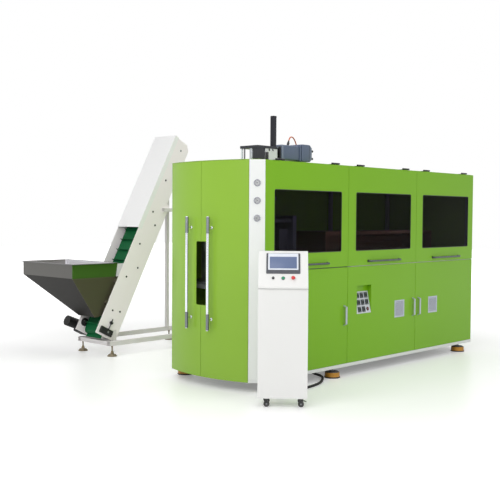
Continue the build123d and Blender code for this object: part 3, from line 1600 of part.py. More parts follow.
head_middle = pedestal_width / 2
screen_middle = screen_drop + screen_height / 2
button_places = [head_middle - button_spacing, head_middle, head_middle + button_spacing]
with BuildPart() as console_head:
    with BuildSketch(pedestal_side(0, 0, 0)):
        with BuildLine():
            Polyline(
                (-head_overhang, head_low),
                (-head_overhang, face_base),
                (face_top_back, head_high),
                (pedestal_depth, head_high),
                (pedestal_depth, head_low),
                close=True,
            )
        make_face()
    extrude(amount=pedestal_width)
    bottom_face = console_head.faces().sort_by(Axis.Z)[0]
    offset(amount=-sheet, openings=bottom_face)
    with BuildSketch(pedestal_flat(0, -head_overhang, head_low)):
        Rectangle(pedestal_width, head_overhang + sheet, align=(Align.MIN, Align.MIN))
    extrude(amount=sheet)
    with BuildSketch(head_face(head_middle, screen_middle)):
        Rectangle(screen_width - 2 * screen_frame, screen_height - 2 * screen_frame)
    extrude(amount=-2 * sheet, mode=Mode.SUBTRACT)
    for right in button_places:
        with BuildSketch(head_face(right, button_drop)):
            Circle(button_ring / 2)
        extrude(amount=ring_proud)
        with BuildSketch(head_face(right, button_drop)):
            Circle(button_ring / 2)
        extrude(amount=-10)
    for right, bore in zip(button_places, button_bores):
        with BuildSketch(head_face(right, button_drop, ring_proud)):
            Circle(bore / 2 + running_gap)
        extrude(amount=-ring_proud - 12, mode=Mode.SUBTRACT)
save(console_head.part, "console_head")

# Touch screen: a bezel on the face, its body through the opening, a sunk glass.
with BuildPart() as touch_screen:
    with BuildSketch(head_face(head_middle, screen_middle)):
        RectangleRounded(screen_width, screen_height, 6)
    extrude(amount=screen_proud)
    with BuildSketch(head_face(head_middle, screen_middle)):
        Rectangle(screen_width - 2 * screen_frame - 1, screen_height - 2 * screen_frame - 1)
    extrude(amount=-28)
    with BuildSketch(head_face(head_middle, screen_middle, screen_proud)):
        Rectangle(screen_width - 2 * screen_frame, screen_height - 2.6 * screen_frame)
    extrude(amount=-1.5, mode=Mode.SUBTRACT)
save(touch_screen.part, "touch_screen")

# Selector, start button and emergency stop, each on a stem through its sleeve.
selector_at, start_at, stop_at = button_places
with BuildPart() as selector_switch:
    with BuildSketch(head_face(selector_at, button_drop, ring_proud + panel_gap)):
        Circle(button_ring / 2 - 1)
    extrude(amount=5)
    with BuildSketch(head_face(selector_at, button_drop, ring_proud + panel_gap + 5)):
        SlotOverall(button_ring - 4, 8, rotation=90)
    extrude(amount=11)
    with BuildSketch(head_face(selector_at, button_drop, ring_proud + panel_gap)):
        Circle(button_bores[0] / 2)
    extrude(amount=-22)
save(selector_switch.part, "selector_switch")

with BuildPart() as start_button:
    with BuildSketch(head_face(start_at, button_drop, ring_proud + start_proud)):
        Circle(button_bores[1] / 2)
    extrude(amount=-ring_proud - start_proud - 18)
save(start_button.part, "start_button")

with BuildPart() as emergency_stop:
    with BuildSketch(head_face(stop_at, button_drop, ring_proud + stop_travel + 2)):
        Circle(stop_head / 2)
    extrude(amount=stop_height)
    fillet(emergency_stop.faces().sort_by(SortBy.DISTANCE, reverse=True)[0].edges(), 4)
    with BuildSketch(head_face(stop_at, button_drop, ring_proud + stop_travel + 2)):
        Circle(button_bores[2] / 2)
    extrude(amount=-ring_proud - stop_travel - 20)
save(emergency_stop.part, "emergency_stop")

# Castors: a swivel fork on each pin, and a wheel on the fork's axle, set off to trail.
castor_centre = castor_wheel / 2
crown_top = pedestal_low - castor_plate - 0.4
crown_low = castor_wheel + 10
prong_gap = castor_tread / 2 + 0.6
prong = 3.0
for n, (right, back) in enumerate(castor_places, start=1):
    axle_right = right + castor_trail
    with BuildPart() as castor_fork:
        with BuildSketch(pedestal_flat(right + castor_trail / 2, back, crown_low)):
            Rectangle(castor_trail + 26, 2 * (prong_gap + prong))
        extrude(amount=4)
        with BuildSketch(pedestal_flat(right, back, crown_low)):
            Circle(15)
        extrude(amount=crown_top - crown_low)
        for start in (-prong_gap - prong, prong_gap):
            fork_side = Plane(origin=beside(axle_right, back + start, castor_centre), x_dir=right_way, z_dir=back_way)
            with BuildSketch(fork_side):
                Circle(9)
                with Locations((-castor_trail / 2, (castor_centre - crown_low - 4) / 2)):
                    Rectangle(22, crown_low + 4 - castor_centre)
            extrude(amount=prong)
        axle = Plane(
            origin=beside(axle_right, back - prong_gap - prong, castor_centre),
            x_dir=right_way,
            z_dir=back_way,
        )
        with BuildSketch(axle):
            Circle(castor_axle / 2)
        extrude(amount=2 * (prong_gap + prong))
        with BuildSketch(pedestal_flat(right, back, crown_low)):
            Circle(castor_pin / 2 + running_gap)
        extrude(amount=crown_top - crown_low, mode=Mode.SUBTRACT)
    save(castor_fork.part, f"castor_fork_{n}")

    wheel_face = Plane(
        origin=beside(axle_right, back - castor_tread / 2, castor_centre),
        x_dir=right_way,
        z_dir=back_way,
    )
    with BuildPart() as castor_roll:
        with BuildSketch(wheel_face):
            Circle(castor_wheel / 2)
            Circle(castor_axle / 2 + running_gap, mode=Mode.SUBTRACT)
        extrude(amount=castor_tread)
        chamfer(castor_roll.edges().filter_by(GeomType.CIRCLE).sort_by(SortBy.RADIUS)[-2:], 2)
    save(castor_roll.part, f"castor_wheel_{n}")

# Conduit: from the pedestal's gland down to the floor, round the front of the machine,
# between two feet and up to the gland under the base.
conduit_lies = conduit / 2 + 0.3
drop_run = 152.0
drop_ahead = sqrt(drop_run**2 - (conduit_exit - conduit_lies) ** 2)
exit_back = pedestal_depth + gland_length
conduit_points = [
    beside(exit_right, exit_back, conduit_exit),
    beside(exit_right, exit_back + first_run, conduit_exit),
    beside(exit_right, exit_back + first_run + drop_ahead, conduit_lies),
]
conduit_points += [at(x, y, conduit_lies) for x, y in conduit_floor]
conduit_points += [
    at(conduit_entry_x, conduit_entry_y - last_run, conduit_entry_z),
    at(conduit_entry_x, conduit_entry_y, conduit_entry_z),
]
free_cord(conduit_points, conduit, "conduit")
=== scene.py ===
from math import cos, pi, radians, sin, tan

import bmesh
import bpy
from mathutils import Matrix, Vector


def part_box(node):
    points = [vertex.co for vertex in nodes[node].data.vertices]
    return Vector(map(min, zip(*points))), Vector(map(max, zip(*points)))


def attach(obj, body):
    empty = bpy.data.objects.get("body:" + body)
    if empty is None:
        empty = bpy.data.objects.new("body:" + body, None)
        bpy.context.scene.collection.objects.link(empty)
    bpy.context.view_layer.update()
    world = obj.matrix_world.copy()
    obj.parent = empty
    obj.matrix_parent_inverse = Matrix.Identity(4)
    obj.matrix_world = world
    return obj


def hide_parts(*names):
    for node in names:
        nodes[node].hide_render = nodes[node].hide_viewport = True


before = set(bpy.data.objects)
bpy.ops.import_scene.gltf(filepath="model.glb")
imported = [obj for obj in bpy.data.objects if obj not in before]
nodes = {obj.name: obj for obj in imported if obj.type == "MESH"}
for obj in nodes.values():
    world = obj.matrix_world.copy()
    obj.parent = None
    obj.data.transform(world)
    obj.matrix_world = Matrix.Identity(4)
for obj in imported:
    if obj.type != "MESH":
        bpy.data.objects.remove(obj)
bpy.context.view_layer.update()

# Camera: a long lens at eye level, left of the machine and in front of it.
# It looks almost level at the curved end.
eye = (-6.9831, -6.5579, 1.5563)
yaw, pitch, roll = radians(45.992), radians(2.297), radians(0.368)
focal_length, sensor_width, farthest_seen = 61.41, 36.0, 60.0
ahead = Vector((cos(pitch) * sin(yaw), cos(pitch) * cos(yaw), -sin(pitch)))
level = ahead.cross(Vector((0, 0, 1))).normalized()
across = level * cos(roll) + level.cross(ahead) * sin(roll)
upward = across.cross(ahead)
lens = bpy.data.cameras.new("studio_camera")
lens.lens, lens.sensor_width, lens.clip_end = focal_length, sensor_width, farthest_seen
camera = bpy.data.objects.new("studio_camera", lens)
camera.matrix_world = Matrix.Translation(eye) @ Matrix((across, upward, -ahead)).transposed().to_4x4()
bpy.context.collection.objects.link(camera)
bpy.context.scene.camera = camera
bpy.context.scene.view_settings.view_transform = "Standard"

# Studio: three large soft lamps, a narrow one on the elevator, and a pale room on a
# pale floor. The room is white to the camera and in reflections, and lights the object less.
lamps = [  # name, place, what it points at, width in metres, watts
    ("end_lamp", (-6.2, -2.4, 4.6), (-1.2, -0.4, 1.0), 5.0, 168),
    ("front_lamp", (-1.2, -8.5, 4.4), (0.3, -1.0, 1.2), 5.0, 120),
    ("top_lamp", (0.5, 0.0, 7.5), (0.3, 0.0, 0.0), 6.0, 148),
    ("side_lamp", (-4.2, -2.6, 2.2), (-1.1, 1.3, 1.2), 1.0, 2.6),
]
for name, place, target, size, power in lamps:
    light = bpy.data.lights.new(name, "AREA")
    light.shape, light.size, light.energy = "SQUARE", size, power
    lamp = bpy.data.objects.new(name, light)
    lamp.location = place
    lamp.rotation_euler = (Vector(target) - Vector(place)).to_track_quat("-Z", "Y").to_euler()
    bpy.context.collection.objects.link(lamp)
side_lamp_spread = radians(40)
bpy.data.lights["side_lamp"].spread = side_lamp_spread


def joined(tree, source, target):
    """Link one socket to another."""
    tree.links.new(source, target)


def preset(node, values):
    """Give a node's inputs their values by name."""
    for label, value in values.items():
        node.inputs[label].default_value = value


def calculated(tree, operation, *values):
    """A math node on sockets or plain numbers."""
    node = tree.nodes.new("ShaderNodeMath")
    node.operation = operation
    for socket, value in zip(node.inputs, values):
        if isinstance(value, (int, float)):
            socket.default_value = value
        else:
            joined(tree, value, socket)
    return node.outputs[0]


def white_to_camera(tree):
    """1 where the camera, a mirror or a glass looks, 0 where light falls."""
    ray = tree.nodes.new("ShaderNodeLightPath").outputs
    seen = calculated(tree, "MAXIMUM", ray["Is Camera Ray"], ray["Is Glossy Ray"])
    return calculated(tree, "MAXIMUM", seen, ray["Is Transmission Ray"])


room = bpy.data.worlds.new("pale_room")
room.use_nodes = True
bpy.context.scene.world = room
room_light, room_white = 0.46, 1.0
backdrop = room.node_tree.nodes["Background"]
preset(backdrop, {"Color": (1, 1, 1, 1)})
brightness = room.node_tree.nodes.new("ShaderNodeMapRange")
preset(brightness, {"To Min": room_light, "To Max": room_white})
joined(room.node_tree, white_to_camera(room.node_tree), brightness.inputs["Value"])
joined(room.node_tree, brightness.outputs[0], backdrop.inputs["Strength"])

floor_reach = 30
glow_from, glow_full, least_glow = 3.0, 11.0, 0.22
floor_shape = bmesh.new()
bmesh.ops.create_grid(floor_shape, x_segments=1, y_segments=1, size=floor_reach)
floor_mesh = bpy.data.meshes.new("studio_floor")
floor_shape.to_mesh(floor_mesh)
floor_shape.free()
floor = bpy.data.objects.new("studio_floor", floor_mesh)
bpy.context.collection.objects.link(floor)
floor_paint = bpy.data.materials.new("floor_paint")
floor_paint.use_nodes = True
tree = floor_paint.node_tree
shader = tree.nodes["Principled BSDF"]
preset(shader, {"Base Color": (0.93, 0.93, 0.93, 1), "Roughness": 0.35, "Specular IOR Level": 0.3})
preset(shader, {"Emission Color": (1, 1, 1, 1)})
from_middle = tree.nodes.new("ShaderNodeVectorMath")
from_middle.operation = "LENGTH"
joined(tree, tree.nodes.new("ShaderNodeTexCoord").outputs["Object"], from_middle.inputs[0])
fade = tree.nodes.new("ShaderNodeMapRange")
preset(fade, {"From Min": glow_from, "From Max": glow_full, "To Min": least_glow, "To Max": 1.0})
joined(tree, from_middle.outputs["Value"], fade.inputs["Value"])
glow = calculated(tree, "MULTIPLY", white_to_camera(tree), fade.outputs[0])
joined(tree, glow, shader.inputs["Emission Strength"])
floor_mesh.materials.append(floor_paint)

# Conduit: black ribbed plastic on a steel core, from the pedestal's gland across the
# floor, round the front foot and up into the gland under the base.
conduit_way = [
    (-1.677, -1.819, 0.11),
    (-1.5953, -1.7454, 0.11),
    (-1.5087, -1.6675, 0.0123),
    (-1.3335, -1.6385, 0.0123),
    (-1.1185, -1.6305, 0.0123),
    (-0.8825, -1.5835, 0.0123),
    (-0.6835, -1.4535, 0.0123),
    (-0.5935, -1.3585, 0.0123),
    (-0.5605, -1.2435, 0.0123),
    (-0.5735, -1.1385, 0.045),
    (-0.5735, -1.0735, 0.045),
]


def flexible_line(name, way, diameter):
    """A round line along one smooth spline through its route."""
    line = bpy.data.curves.new(name, "CURVE")
    line.dimensions = "3D"
    line.resolution_u = 24
    line.bevel_depth = diameter / 2
    line.bevel_resolution = 6
    line.use_fill_caps = True
    spline = line.splines.new("NURBS")
    spline.points.add(len(way) - 1)
    for point, place in zip(spline.points, way):
        point.co = (*place, 1)
    spline.order_u = 3
    spline.use_endpoint_u = True
    piece = bpy.data.objects.new(name, line)
    bpy.context.collection.objects.link(piece)
    return piece


def node_group(name, inputs, outputs):
    """An empty shader group with its sockets: name, kind and a usual value."""
    group = bpy.data.node_groups.new(name, "ShaderNodeTree")
    for label, kind, value in inputs:
        socket = group.interface.new_socket(label, in_out="INPUT", socket_type=f"NodeSocket{kind}")
        socket.default_value = value
    for label, kind in outputs:
        group.interface.new_socket(label, in_out="OUTPUT", socket_type=f"NodeSocket{kind}")
    return group, group.nodes.new("NodeGroupInput"), group.nodes.new("NodeGroupOutput")


def noise(tree, place, scale, detail=3.0, roughness=0.5):
    """Noise at a place, with its scale in marks per metre."""
    node = tree.nodes.new("ShaderNodeTexNoise")
    preset(node, {"Detail": detail, "Roughness": roughness})
    joined(tree, place, node.inputs["Vector"])
    if isinstance(scale, (int, float)):
        node.inputs["Scale"].default_value = scale
    else:
        joined(tree, scale, node.inputs["Scale"])
    return node.outputs["Fac"]


def mixed(tree, factor, first, second):
    """Two colours mixed by a factor. Each is a socket or a plain colour."""
    node = tree.nodes.new("ShaderNodeMix")
    node.data_type = "RGBA"
    for socket, value in ((node.inputs[0], factor), (node.inputs[6], first), (node.inputs[7], second)):
        if isinstance(value, (int, float)):
            socket.default_value = value
        elif isinstance(value, tuple):
            socket.default_value = (*value[:3], 1)
        else:
            joined(tree, value, socket)
    return node.outputs[2]


def stepped(tree, inside, outer, own):
    """A plain value that becomes a region's own inside its box."""
    node = tree.nodes.new("ShaderNodeMix")
    joined(tree, inside, node.inputs[0])
    if isinstance(outer, (int, float)):
        node.inputs[2].default_value = outer
    else:
        joined(tree, outer, node.inputs[2])
    node.inputs[3].default_value = own
    return node.outputs[0]


# What lies on every finish: a faint unevenness of tone, dust on what faces up and near
# the floor, and the smudges that show in a gloss.
soiling, given, result = node_group(
    "soiling",
    [
        ("Colour", "Color", (0.8, 0.8, 0.8, 1)),
        ("Roughness", "Float", 0.4),
        ("Unevenness", "Float", 0.04),
        ("Dust", "Float", 0.15),
        ("Smudges", "Float", 0.08),
    ],
    [("Colour", "Color"), ("Roughness", "Float")],
)
dust_tone = (0.55, 0.53, 0.49)
place = soiling.nodes.new("ShaderNodeTexCoord").outputs["Object"]
cloudy = noise(soiling, place, 1.3, 4.0)
fine = noise(soiling, place, 38.0, 5.0, 0.65)
slant = soiling.nodes.new("ShaderNodeSeparateXYZ")
joined(soiling, soiling.nodes.new("ShaderNodeNewGeometry").outputs["Normal"], slant.inputs[0])
lying = calculated(soiling, "MAXIMUM", slant.outputs["Z"], 0.0)
above_floor = soiling.nodes.new("ShaderNodeSeparateXYZ")
joined(soiling, place, above_floor.inputs[0])
near_floor = soiling.nodes.new("ShaderNodeMapRange")
joined(soiling, above_floor.outputs["Z"], near_floor.inputs["Value"])
preset(near_floor, {"From Min": 0.0, "From Max": 0.35, "To Min": 0.5, "To Max": 0.0})
settled = calculated(soiling, "ADD", lying, near_floor.outputs[0])
patchy = calculated(soiling, "MULTIPLY", settled, calculated(soiling, "MULTIPLY", fine, 1.4))
dusty = calculated(soiling, "MULTIPLY", patchy, given.outputs["Dust"])
clouds = calculated(soiling, "SUBTRACT", cloudy, 0.5)
spread = calculated(soiling, "MULTIPLY", clouds, given.outputs["Unevenness"])
shade = soiling.nodes.new("ShaderNodeHueSaturation")
joined(soiling, given.outputs["Colour"], shade.inputs["Color"])
joined(soiling, calculated(soiling, "ADD", spread, 1.0), shade.inputs["Value"])
joined(soiling, mixed(soiling, dusty, shade.outputs[0], dust_tone), result.inputs["Colour"])
streaks = calculated(soiling, "SUBTRACT", fine, 0.45)
rubbed = calculated(soiling, "MULTIPLY", streaks, given.outputs["Smudges"])
worn = calculated(soiling, "ADD", given.outputs["Roughness"], rubbed)
dulled = calculated(soiling, "ADD", worn, calculated(soiling, "MULTIPLY", dusty, 0.5))
joined(soiling, calculated(soiling, "MINIMUM", dulled, 1.0), result.inputs["Roughness"])

# The grain of a finish: the soft dimples of sprayed paint, or with a stretched pattern
# the fine lines of brushed metal.
grain, given, result = node_group(
    "grain",
    [("Stretch", "Vector", (1, 1, 1)), ("Marks", "Float", 260.0)],
    [("Height", "Float")],
)
place = grain.nodes.new("ShaderNodeTexCoord").outputs["Object"]
stretched = grain.nodes.new("ShaderNodeVectorMath")
stretched.operation = "MULTIPLY"
joined(grain, place, stretched.inputs[0])
joined(grain, given.outputs["Stretch"], stretched.inputs[1])
joined(grain, noise(grain, stretched.outputs[0], given.outputs["Marks"], 2.0), result.inputs["Height"])

# A box on the object, so that a piece made in one with its carrier can have a finish
# of its own.
inside_box, given, result = node_group(
    "inside_box", [("Low", "Vector", (0, 0, 0)), ("High", "Vector", (1, 1, 1))], [("Mask", "Float")]
)
place = inside_box.nodes.new("ShaderNodeTexCoord").outputs["Object"]
held = []
for first, second in ((place, given.outputs["Low"]), (given.outputs["High"], place)):
    apart = inside_box.nodes.new("ShaderNodeVectorMath")
    apart.operation = "SUBTRACT"
    joined(inside_box, first, apart.inputs[0])
    joined(inside_box, second, apart.inputs[1])
    sides = inside_box.nodes.new("ShaderNodeSeparateXYZ")
    joined(inside_box, apart.outputs[0], sides.inputs[0])
    held += [calculated(inside_box, "GREATER_THAN", side, 0.0) for side in sides.outputs]
within = held[0]
for side in held[1:]:
    within = calculated(inside_box, "MULTIPLY", within, side)
joined(inside_box, within, result.inputs["Mask"])


def colour(red, green, blue):
    """A colour as it shows on a screen, 0 to 255, as the linear light that a shader takes."""
    parts = (red, green, blue)
    return tuple(c / 255 / 12.92 if c < 10 else ((c / 255 + 0.055) / 1.055) ** 2.4 for c in parts)


def finish(
    name, tone, roughness=0.4, metallic=0.0, regions=(), stretch=(1, 1, 1), marks=260.0, depth=0.04,
    dust=0.12, smudges=0.08, unevenness=0.05, coat=0.0, specular=0.5,
):
    """A finish with its soil and grain. A region is a box with its own tone, roughness and metal."""
    made = bpy.data.materials.new(name)
    made.use_nodes = True
    tree = made.node_tree
    shader = tree.nodes["Principled BSDF"]
    soil = tree.nodes.new("ShaderNodeGroup")
    soil.node_tree = soiling
    preset(soil, {"Colour": (*tone, 1), "Roughness": roughness})
    preset(soil, {"Unevenness": unevenness, "Dust": dust, "Smudges": smudges})
    tones, dulls, metals = tone, roughness, metallic
    for low, high, own_tone, own_roughness, own_metal in regions:
        box = tree.nodes.new("ShaderNodeGroup")
        box.node_tree = inside_box
        preset(box, {"Low": low, "High": high})
        inside = box.outputs["Mask"]
        tones = mixed(tree, inside, tones, own_tone)
        dulls = stepped(tree, inside, dulls, own_roughness)
        metals = stepped(tree, inside, metals, own_metal)
    preset(shader, {"Metallic": metallic})
    if regions:
        joined(tree, tones, soil.inputs["Colour"])
        joined(tree, dulls, soil.inputs["Roughness"])
        joined(tree, metals, shader.inputs["Metallic"])
    joined(tree, soil.outputs["Colour"], shader.inputs["Base Color"])
    joined(tree, soil.outputs["Roughness"], shader.inputs["Roughness"])
    skin = tree.nodes.new("ShaderNodeGroup")
    skin.node_tree = grain
    preset(skin, {"Stretch": stretch, "Marks": marks})
    bump = tree.nodes.new("ShaderNodeBump")
    preset(bump, {"Strength": depth, "Distance": 0.001})
    joined(tree, skin.outputs["Height"], bump.inputs["Height"])
    joined(tree, bump.outputs["Normal"], shader.inputs["Normal"])
    preset(shader, {"Coat Weight": coat, "Coat Roughness": 0.08, "Specular IOR Level": specular})
    return made


def facing(place, outward, upward=(0, 0, 1)):
    """Where a shape goes that is drawn on the XY plane: local Z points outward, local Y up."""
    out = Vector(outward).normalized()
    right = Vector(upward).cross(out).normalized()
    turn = Matrix((right, out.cross(right), out)).transposed().to_4x4()
    return Matrix.Translation(place) @ turn


sharpest_smooth = radians(34)


def put(shape, part, where, paint):
    """Add a part's mesh to a shape, in its place and with its paint. Corners stay sharp."""
    bmesh.ops.remove_doubles(part, verts=part.verts, dist=1e-6)
    bmesh.ops.recalc_face_normals(part, faces=part.faces)
    bmesh.ops.transform(part, matrix=where, verts=part.verts)
    for face in part.faces:
        face.material_index = paint
        face.smooth = True
    for line in part.edges:
        line.smooth = line.calc_face_angle(0.0) < sharpest_smooth
    lump = bpy.data.meshes.new("lump")
    part.to_mesh(lump)
    part.free()
    shape.from_mesh(lump)
    bpy.data.meshes.remove(lump)


def add_turned(shape, profile, where, paint=0, steps=40):
    """A turned part: a profile of (radius, height) in millimetres, spun about local Z."""
    part = bmesh.new()
    rim = [part.verts.new((r / 1000, 0, h / 1000)) for r, h in profile]
    lines = [part.edges.new(pair) for pair in zip(rim, rim[1:])]
    bmesh.ops.spin(
        part, geom=rim + lines, cent=(0, 0, 0), axis=(0, 0, 1), angle=2 * pi, steps=steps,
        use_merge=True,
    )
    put(shape, part, where, paint)


def fitted(name, shape, materials, body):
    """A finished piece from its shape: it rides on a body and takes a slot's finish."""
    mesh = bpy.data.meshes.new(name)
    shape.to_mesh(mesh)
    shape.free()
    for made in materials:
        mesh.materials.append(made)
    made_piece = bpy.data.objects.new(name, mesh)
    bpy.context.collection.objects.link(made_piece)
    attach(made_piece, body)
    return made_piece


rib_count = 256
conduit = flexible_line("floor_conduit", conduit_way, 0.024)
ribbed = finish("conduit_black", colour(10, 12, 12), 0.45, dust=0.02, specular=0.2)
tree = ribbed.node_tree
along = tree.nodes.new("ShaderNodeSeparateXYZ")
joined(tree, tree.nodes.new("ShaderNodeTexCoord").outputs["UV"], along.inputs[0])
ribs = calculated(tree, "SINE", calculated(tree, "MULTIPLY", along.outputs["X"], 2 * pi * rib_count))
rib_bump = tree.nodes.new("ShaderNodeBump")
preset(rib_bump, {"Strength": 0.8, "Distance": 0.0015})
joined(tree, ribs, rib_bump.inputs["Height"])
joined(tree, rib_bump.outputs["Normal"], tree.nodes["Principled BSDF"].inputs["Normal"])
conduit.data.materials.append(ribbed)
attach(conduit, "machine")
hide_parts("conduit")
gland_black = finish("gland_black", colour(32, 33, 35), 0.38, marks=900.0, dust=0.08)
gland_nut = [
    (12.4, 0), (17, 0), (17, 9), (16.2, 10), (16.2, 14), (15.4, 22), (13.4, 30), (12.4, 31), (12.4, 0),
]
glands = bmesh.new()
for first, second in ((conduit_way[0], conduit_way[1]), (conduit_way[-1], conduit_way[-2])):
    add_turned(glands, gland_nut, facing(Vector(first), Vector(second) - Vector(first)))
fitted("conduit_glands", glands, [gland_black], "machine")

# Motor cable: an orange screened cable from the servo motor's tilted connector, over
# in one arch and down into the roof gland.
cabinet_left, cabinet_front = -1548.5, -1488.5


def standing(x, y, z):
    """A place in metres, from millimetres measured at the cabinet's front left corner."""
    return Vector((x + cabinet_left, y + cabinet_front, z)) / 1000


start, gland = standing(975, 600, 2286), standing(1275, 730, 2080)
span = 326.956
arch = [(21.0, 36.37), (74.69, 67.37), (164.69, 67.37), (261.69, 11.37), (span, -102.94)]
cable_way = [tuple(start)]
for along_way, rise in arch:
    cable_way.append(tuple(start.lerp(gland, along_way / span).xy) + (start.z + rise / 1000,))
cable_way.append(tuple(gland))
cable = flexible_line("servo_cable", cable_way, 0.012)
cable_orange = finish(
    "cable_orange", colour(206, 88, 18), 0.45, marks=900.0, depth=0.1, dust=0.0, specular=0.25
)
cable.data.materials.append(cable_orange)
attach(cable, "machine")
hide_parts("motor_cable")
relief = [(6.2, 0), (10, 0), (10, 7), (9, 8), (8.6, 14), (7.2, 24), (6.2, 25), (6.2, 0)]
reliefs = bmesh.new()
add_turned(reliefs, relief, facing(start, Vector(cable_way[1]) - start), steps=28)
add_turned(reliefs, relief, facing(gland, (0, 0, 1), (0, 1, 0)), steps=28)
fitted("cable_reliefs", reliefs, [gland_black], "machine")

# Base and skeleton: welded square tube on height-adjusting feet, the base in white enamel
# and the skeleton in a mid grey.
# Each foot is an orange elastomer pad in a black ring, with a black cap and a stud.


def dress(made, *names):
    """Give CAD nodes their finish."""
    for name in names:
        for slot in nodes[name].material_slots:
            slot.material = made


dress(finish("white_enamel", colour(232, 234, 233), 0.34, dust=0.16, coat=0.15), "base_frame")
skeleton_grey = finish("skeleton_grey", colour(158, 161, 163), 0.45, marks=400.0, depth=0.08, dust=0.15)
dress(skeleton_grey, "cabinet_frame")
wide = 9.0  # metres, past the object on every side
pad = ((-wide, -wide, 0.012), (wide, wide, 0.0538), colour(190, 130, 12), 0.45, 0.0)
stud = ((-wide, -wide, 0.0625), (wide, wide, 0.2), colour(120, 122, 125), 0.35, 0.9)
levelling_pads = finish(
    "levelling_pads", colour(24, 24, 24), 0.5, regions=[pad, stud], marks=700.0, depth=0.12, dust=0.1
)
dress(levelling_pads, "levelling_feet")

# Machine bed: a thick ground steel plate on cross beams, primed grey. It is bolted into
# the skeleton and carries the moulds.
dress(finish("bed_grey", colour(120, 124, 128), 0.5, 0.2, marks=400.0, depth=0.1), "machine_bed")

# Corner columns: folded sheet in a warm white, with three gauges through the front one.
# Each gauge has a plated rim, a pale dial with a scale, a needle and a flat glass.
dress(finish("column_white", colour(238, 240, 238), 0.3, dust=0.05, coat=0.3), "corner_columns")
dress(finish("gauge_plating", colour(172, 174, 182), 0.22, 0.9, marks=900.0), "pressure_gauges")


def add_block(shape, size, where, paint=0, edge=0.4, segments=2):
    """A block with eased edges, in millimetres, its middle at the place it is put."""
    part = bmesh.new()
    bmesh.ops.create_cube(part, size=0.001)
    bmesh.ops.scale(part, vec=size, verts=part.verts)
    bmesh.ops.bevel(
        part, geom=part.edges[:], offset=edge / 1000, affect="EDGES", segments=segments,
        profile=0.5, material=-1,
    )
    put(shape, part, where, paint)


def shifted(where, x=0.0, y=0.0, z=0.0, turn=0.0):
    """A place moved in its own plane by millimetres, and turned there by degrees."""
    return where @ Matrix.Translation((x / 1000, y / 1000, z / 1000)) @ Matrix.Rotation(radians(turn), 4, "Z")


gauge_heights = (1843.0, 1689.0, 1536.0)
scale_marks, scale_start, scale_step, needle_turn = 11, 135, 27, 48
watch_glass = [(0, 2.9), (15, 2.7), (25.8, 2.2), (25.8, 1.9), (15, 2.3), (0, 2.5), (0, 2.9)]
gauge_faces, gauge_glasses = bmesh.new(), bmesh.new()
for height in gauge_heights:
    dial = shifted(facing(standing(-49.5, 49.5, height), (-1, -1, 0)), z=6)
    add_turned(gauge_faces, [(0, 0.3), (25.2, 0.3), (25.7, 0)], dial, 0)
    for mark in range(scale_marks):
        mark_size = (1.7, 6.5, 0.3) if mark % 5 == 0 else (1.0, 4.0, 0.3)
        ray = shifted(dial, turn=scale_start - scale_step * mark)
        add_block(gauge_faces, mark_size, shifted(ray, y=19.5, z=0.4), 1, 0.1, 1)
    add_turned(gauge_faces, [(21.5, 0.3), (21.5, 0.5), (23.2, 0.5), (23.2, 0.3)], dial, 2)
    pointer = shifted(dial, turn=needle_turn)
    add_block(gauge_faces, (1.6, 23.0, 0.5), shifted(pointer, y=6.5, z=1.2), 1, 0.2, 1)
    add_turned(gauge_faces, [(0, 1.9), (2.6, 1.8), (3.4, 1.2), (3.4, 0.3)], dial, 1, 20)
    add_turned(gauge_glasses, watch_glass, dial, 0)
dial_white = finish("dial_white", colour(226, 227, 230), 0.5, dust=0.0)
dial_black = finish("dial_black", colour(26, 27, 30), 0.5, dust=0.0)
dial_grey = finish("dial_grey", colour(128, 130, 136), 0.5, dust=0.0)
fitted("gauge_faces", gauge_faces, [dial_white, dial_black, dial_grey], "machine")


def clear(name, tint, roughness, bending):
    """A see-through finish: its tint, its roughness and how much it bends light."""
    made = bpy.data.materials.new(name)
    made.use_nodes = True
    shader = made.node_tree.nodes["Principled BSDF"]
    preset(shader, {"Base Color": (*tint, 1), "Transmission Weight": 1.0})
    preset(shader, {"Roughness": roughness, "IOR": bending})
    return made


dial_glass = clear("dial_glass", (0.8, 0.8, 0.8), 0.02, 1.35)
fitted("gauge_glasses", gauge_glasses, [dial_glass], "machine")

# Fixed panels and end doors: pressed sheet in lime green gloss, the same all round.
# Their lime is the doors' lime painted lighter and yellower: painted light for the brighter
# light and sheen on the curved end. The end doors are rolled to one curve and meet in the middle.
end_lime_painted_light, lime = colour(142, 185, 57), colour(126, 183, 26)
lime_gloss = finish(
    "lime_gloss", end_lime_painted_light, 0.34, marks=420.0, depth=0.035, dust=0.04, coat=0.1, specular=0.28
)
dress(lime_gloss, "fixed_panels", "end_door_front", "end_door_rear", "roof_panel")

# Lift doors: folded green pans. Their hinge leaves, made in one with them here, are black
# above the top edge.
hinge_leaves = ((-wide, -wide, 2.0478), (wide, wide, 9.0), colour(30, 30, 32), 0.45, 0.3)
lift_gloss = finish(
    "lift_door_gloss", lime, 0.34, regions=[hinge_leaves],
    marks=420.0, depth=0.035, dust=0.04, coat=0.06, specular=0.2,
)
dress(lift_gloss, "lift_door_1", "lift_door_2", "lift_door_3")

# Control gear behind the lower doors: a galvanised plate with a drive, a supply,
# contactors and wiring ducts.
dress(finish("gear_grey", colour(90, 94, 98), 0.55, 0.1, dust=0.3), "control_gear")

# Windows: smoked plastic panes behind the lift doors, each held in its opening by a
# black rubber gasket with rounded corners.
section_width = 1187
dress(clear("smoked_pane", (0.28, 0.27, 0.32), 0.03, 1.08), "window_1", "window_2", "window_3")


def thicken(part, faces, way):
    """Give flat faces a thickness, by a vector in metres."""
    grown = bmesh.ops.extrude_face_region(part, geom=faces)["geom"]
    bmesh.ops.translate(part, vec=way, verts=[v for v in grown if isinstance(v, bmesh.types.BMVert)])


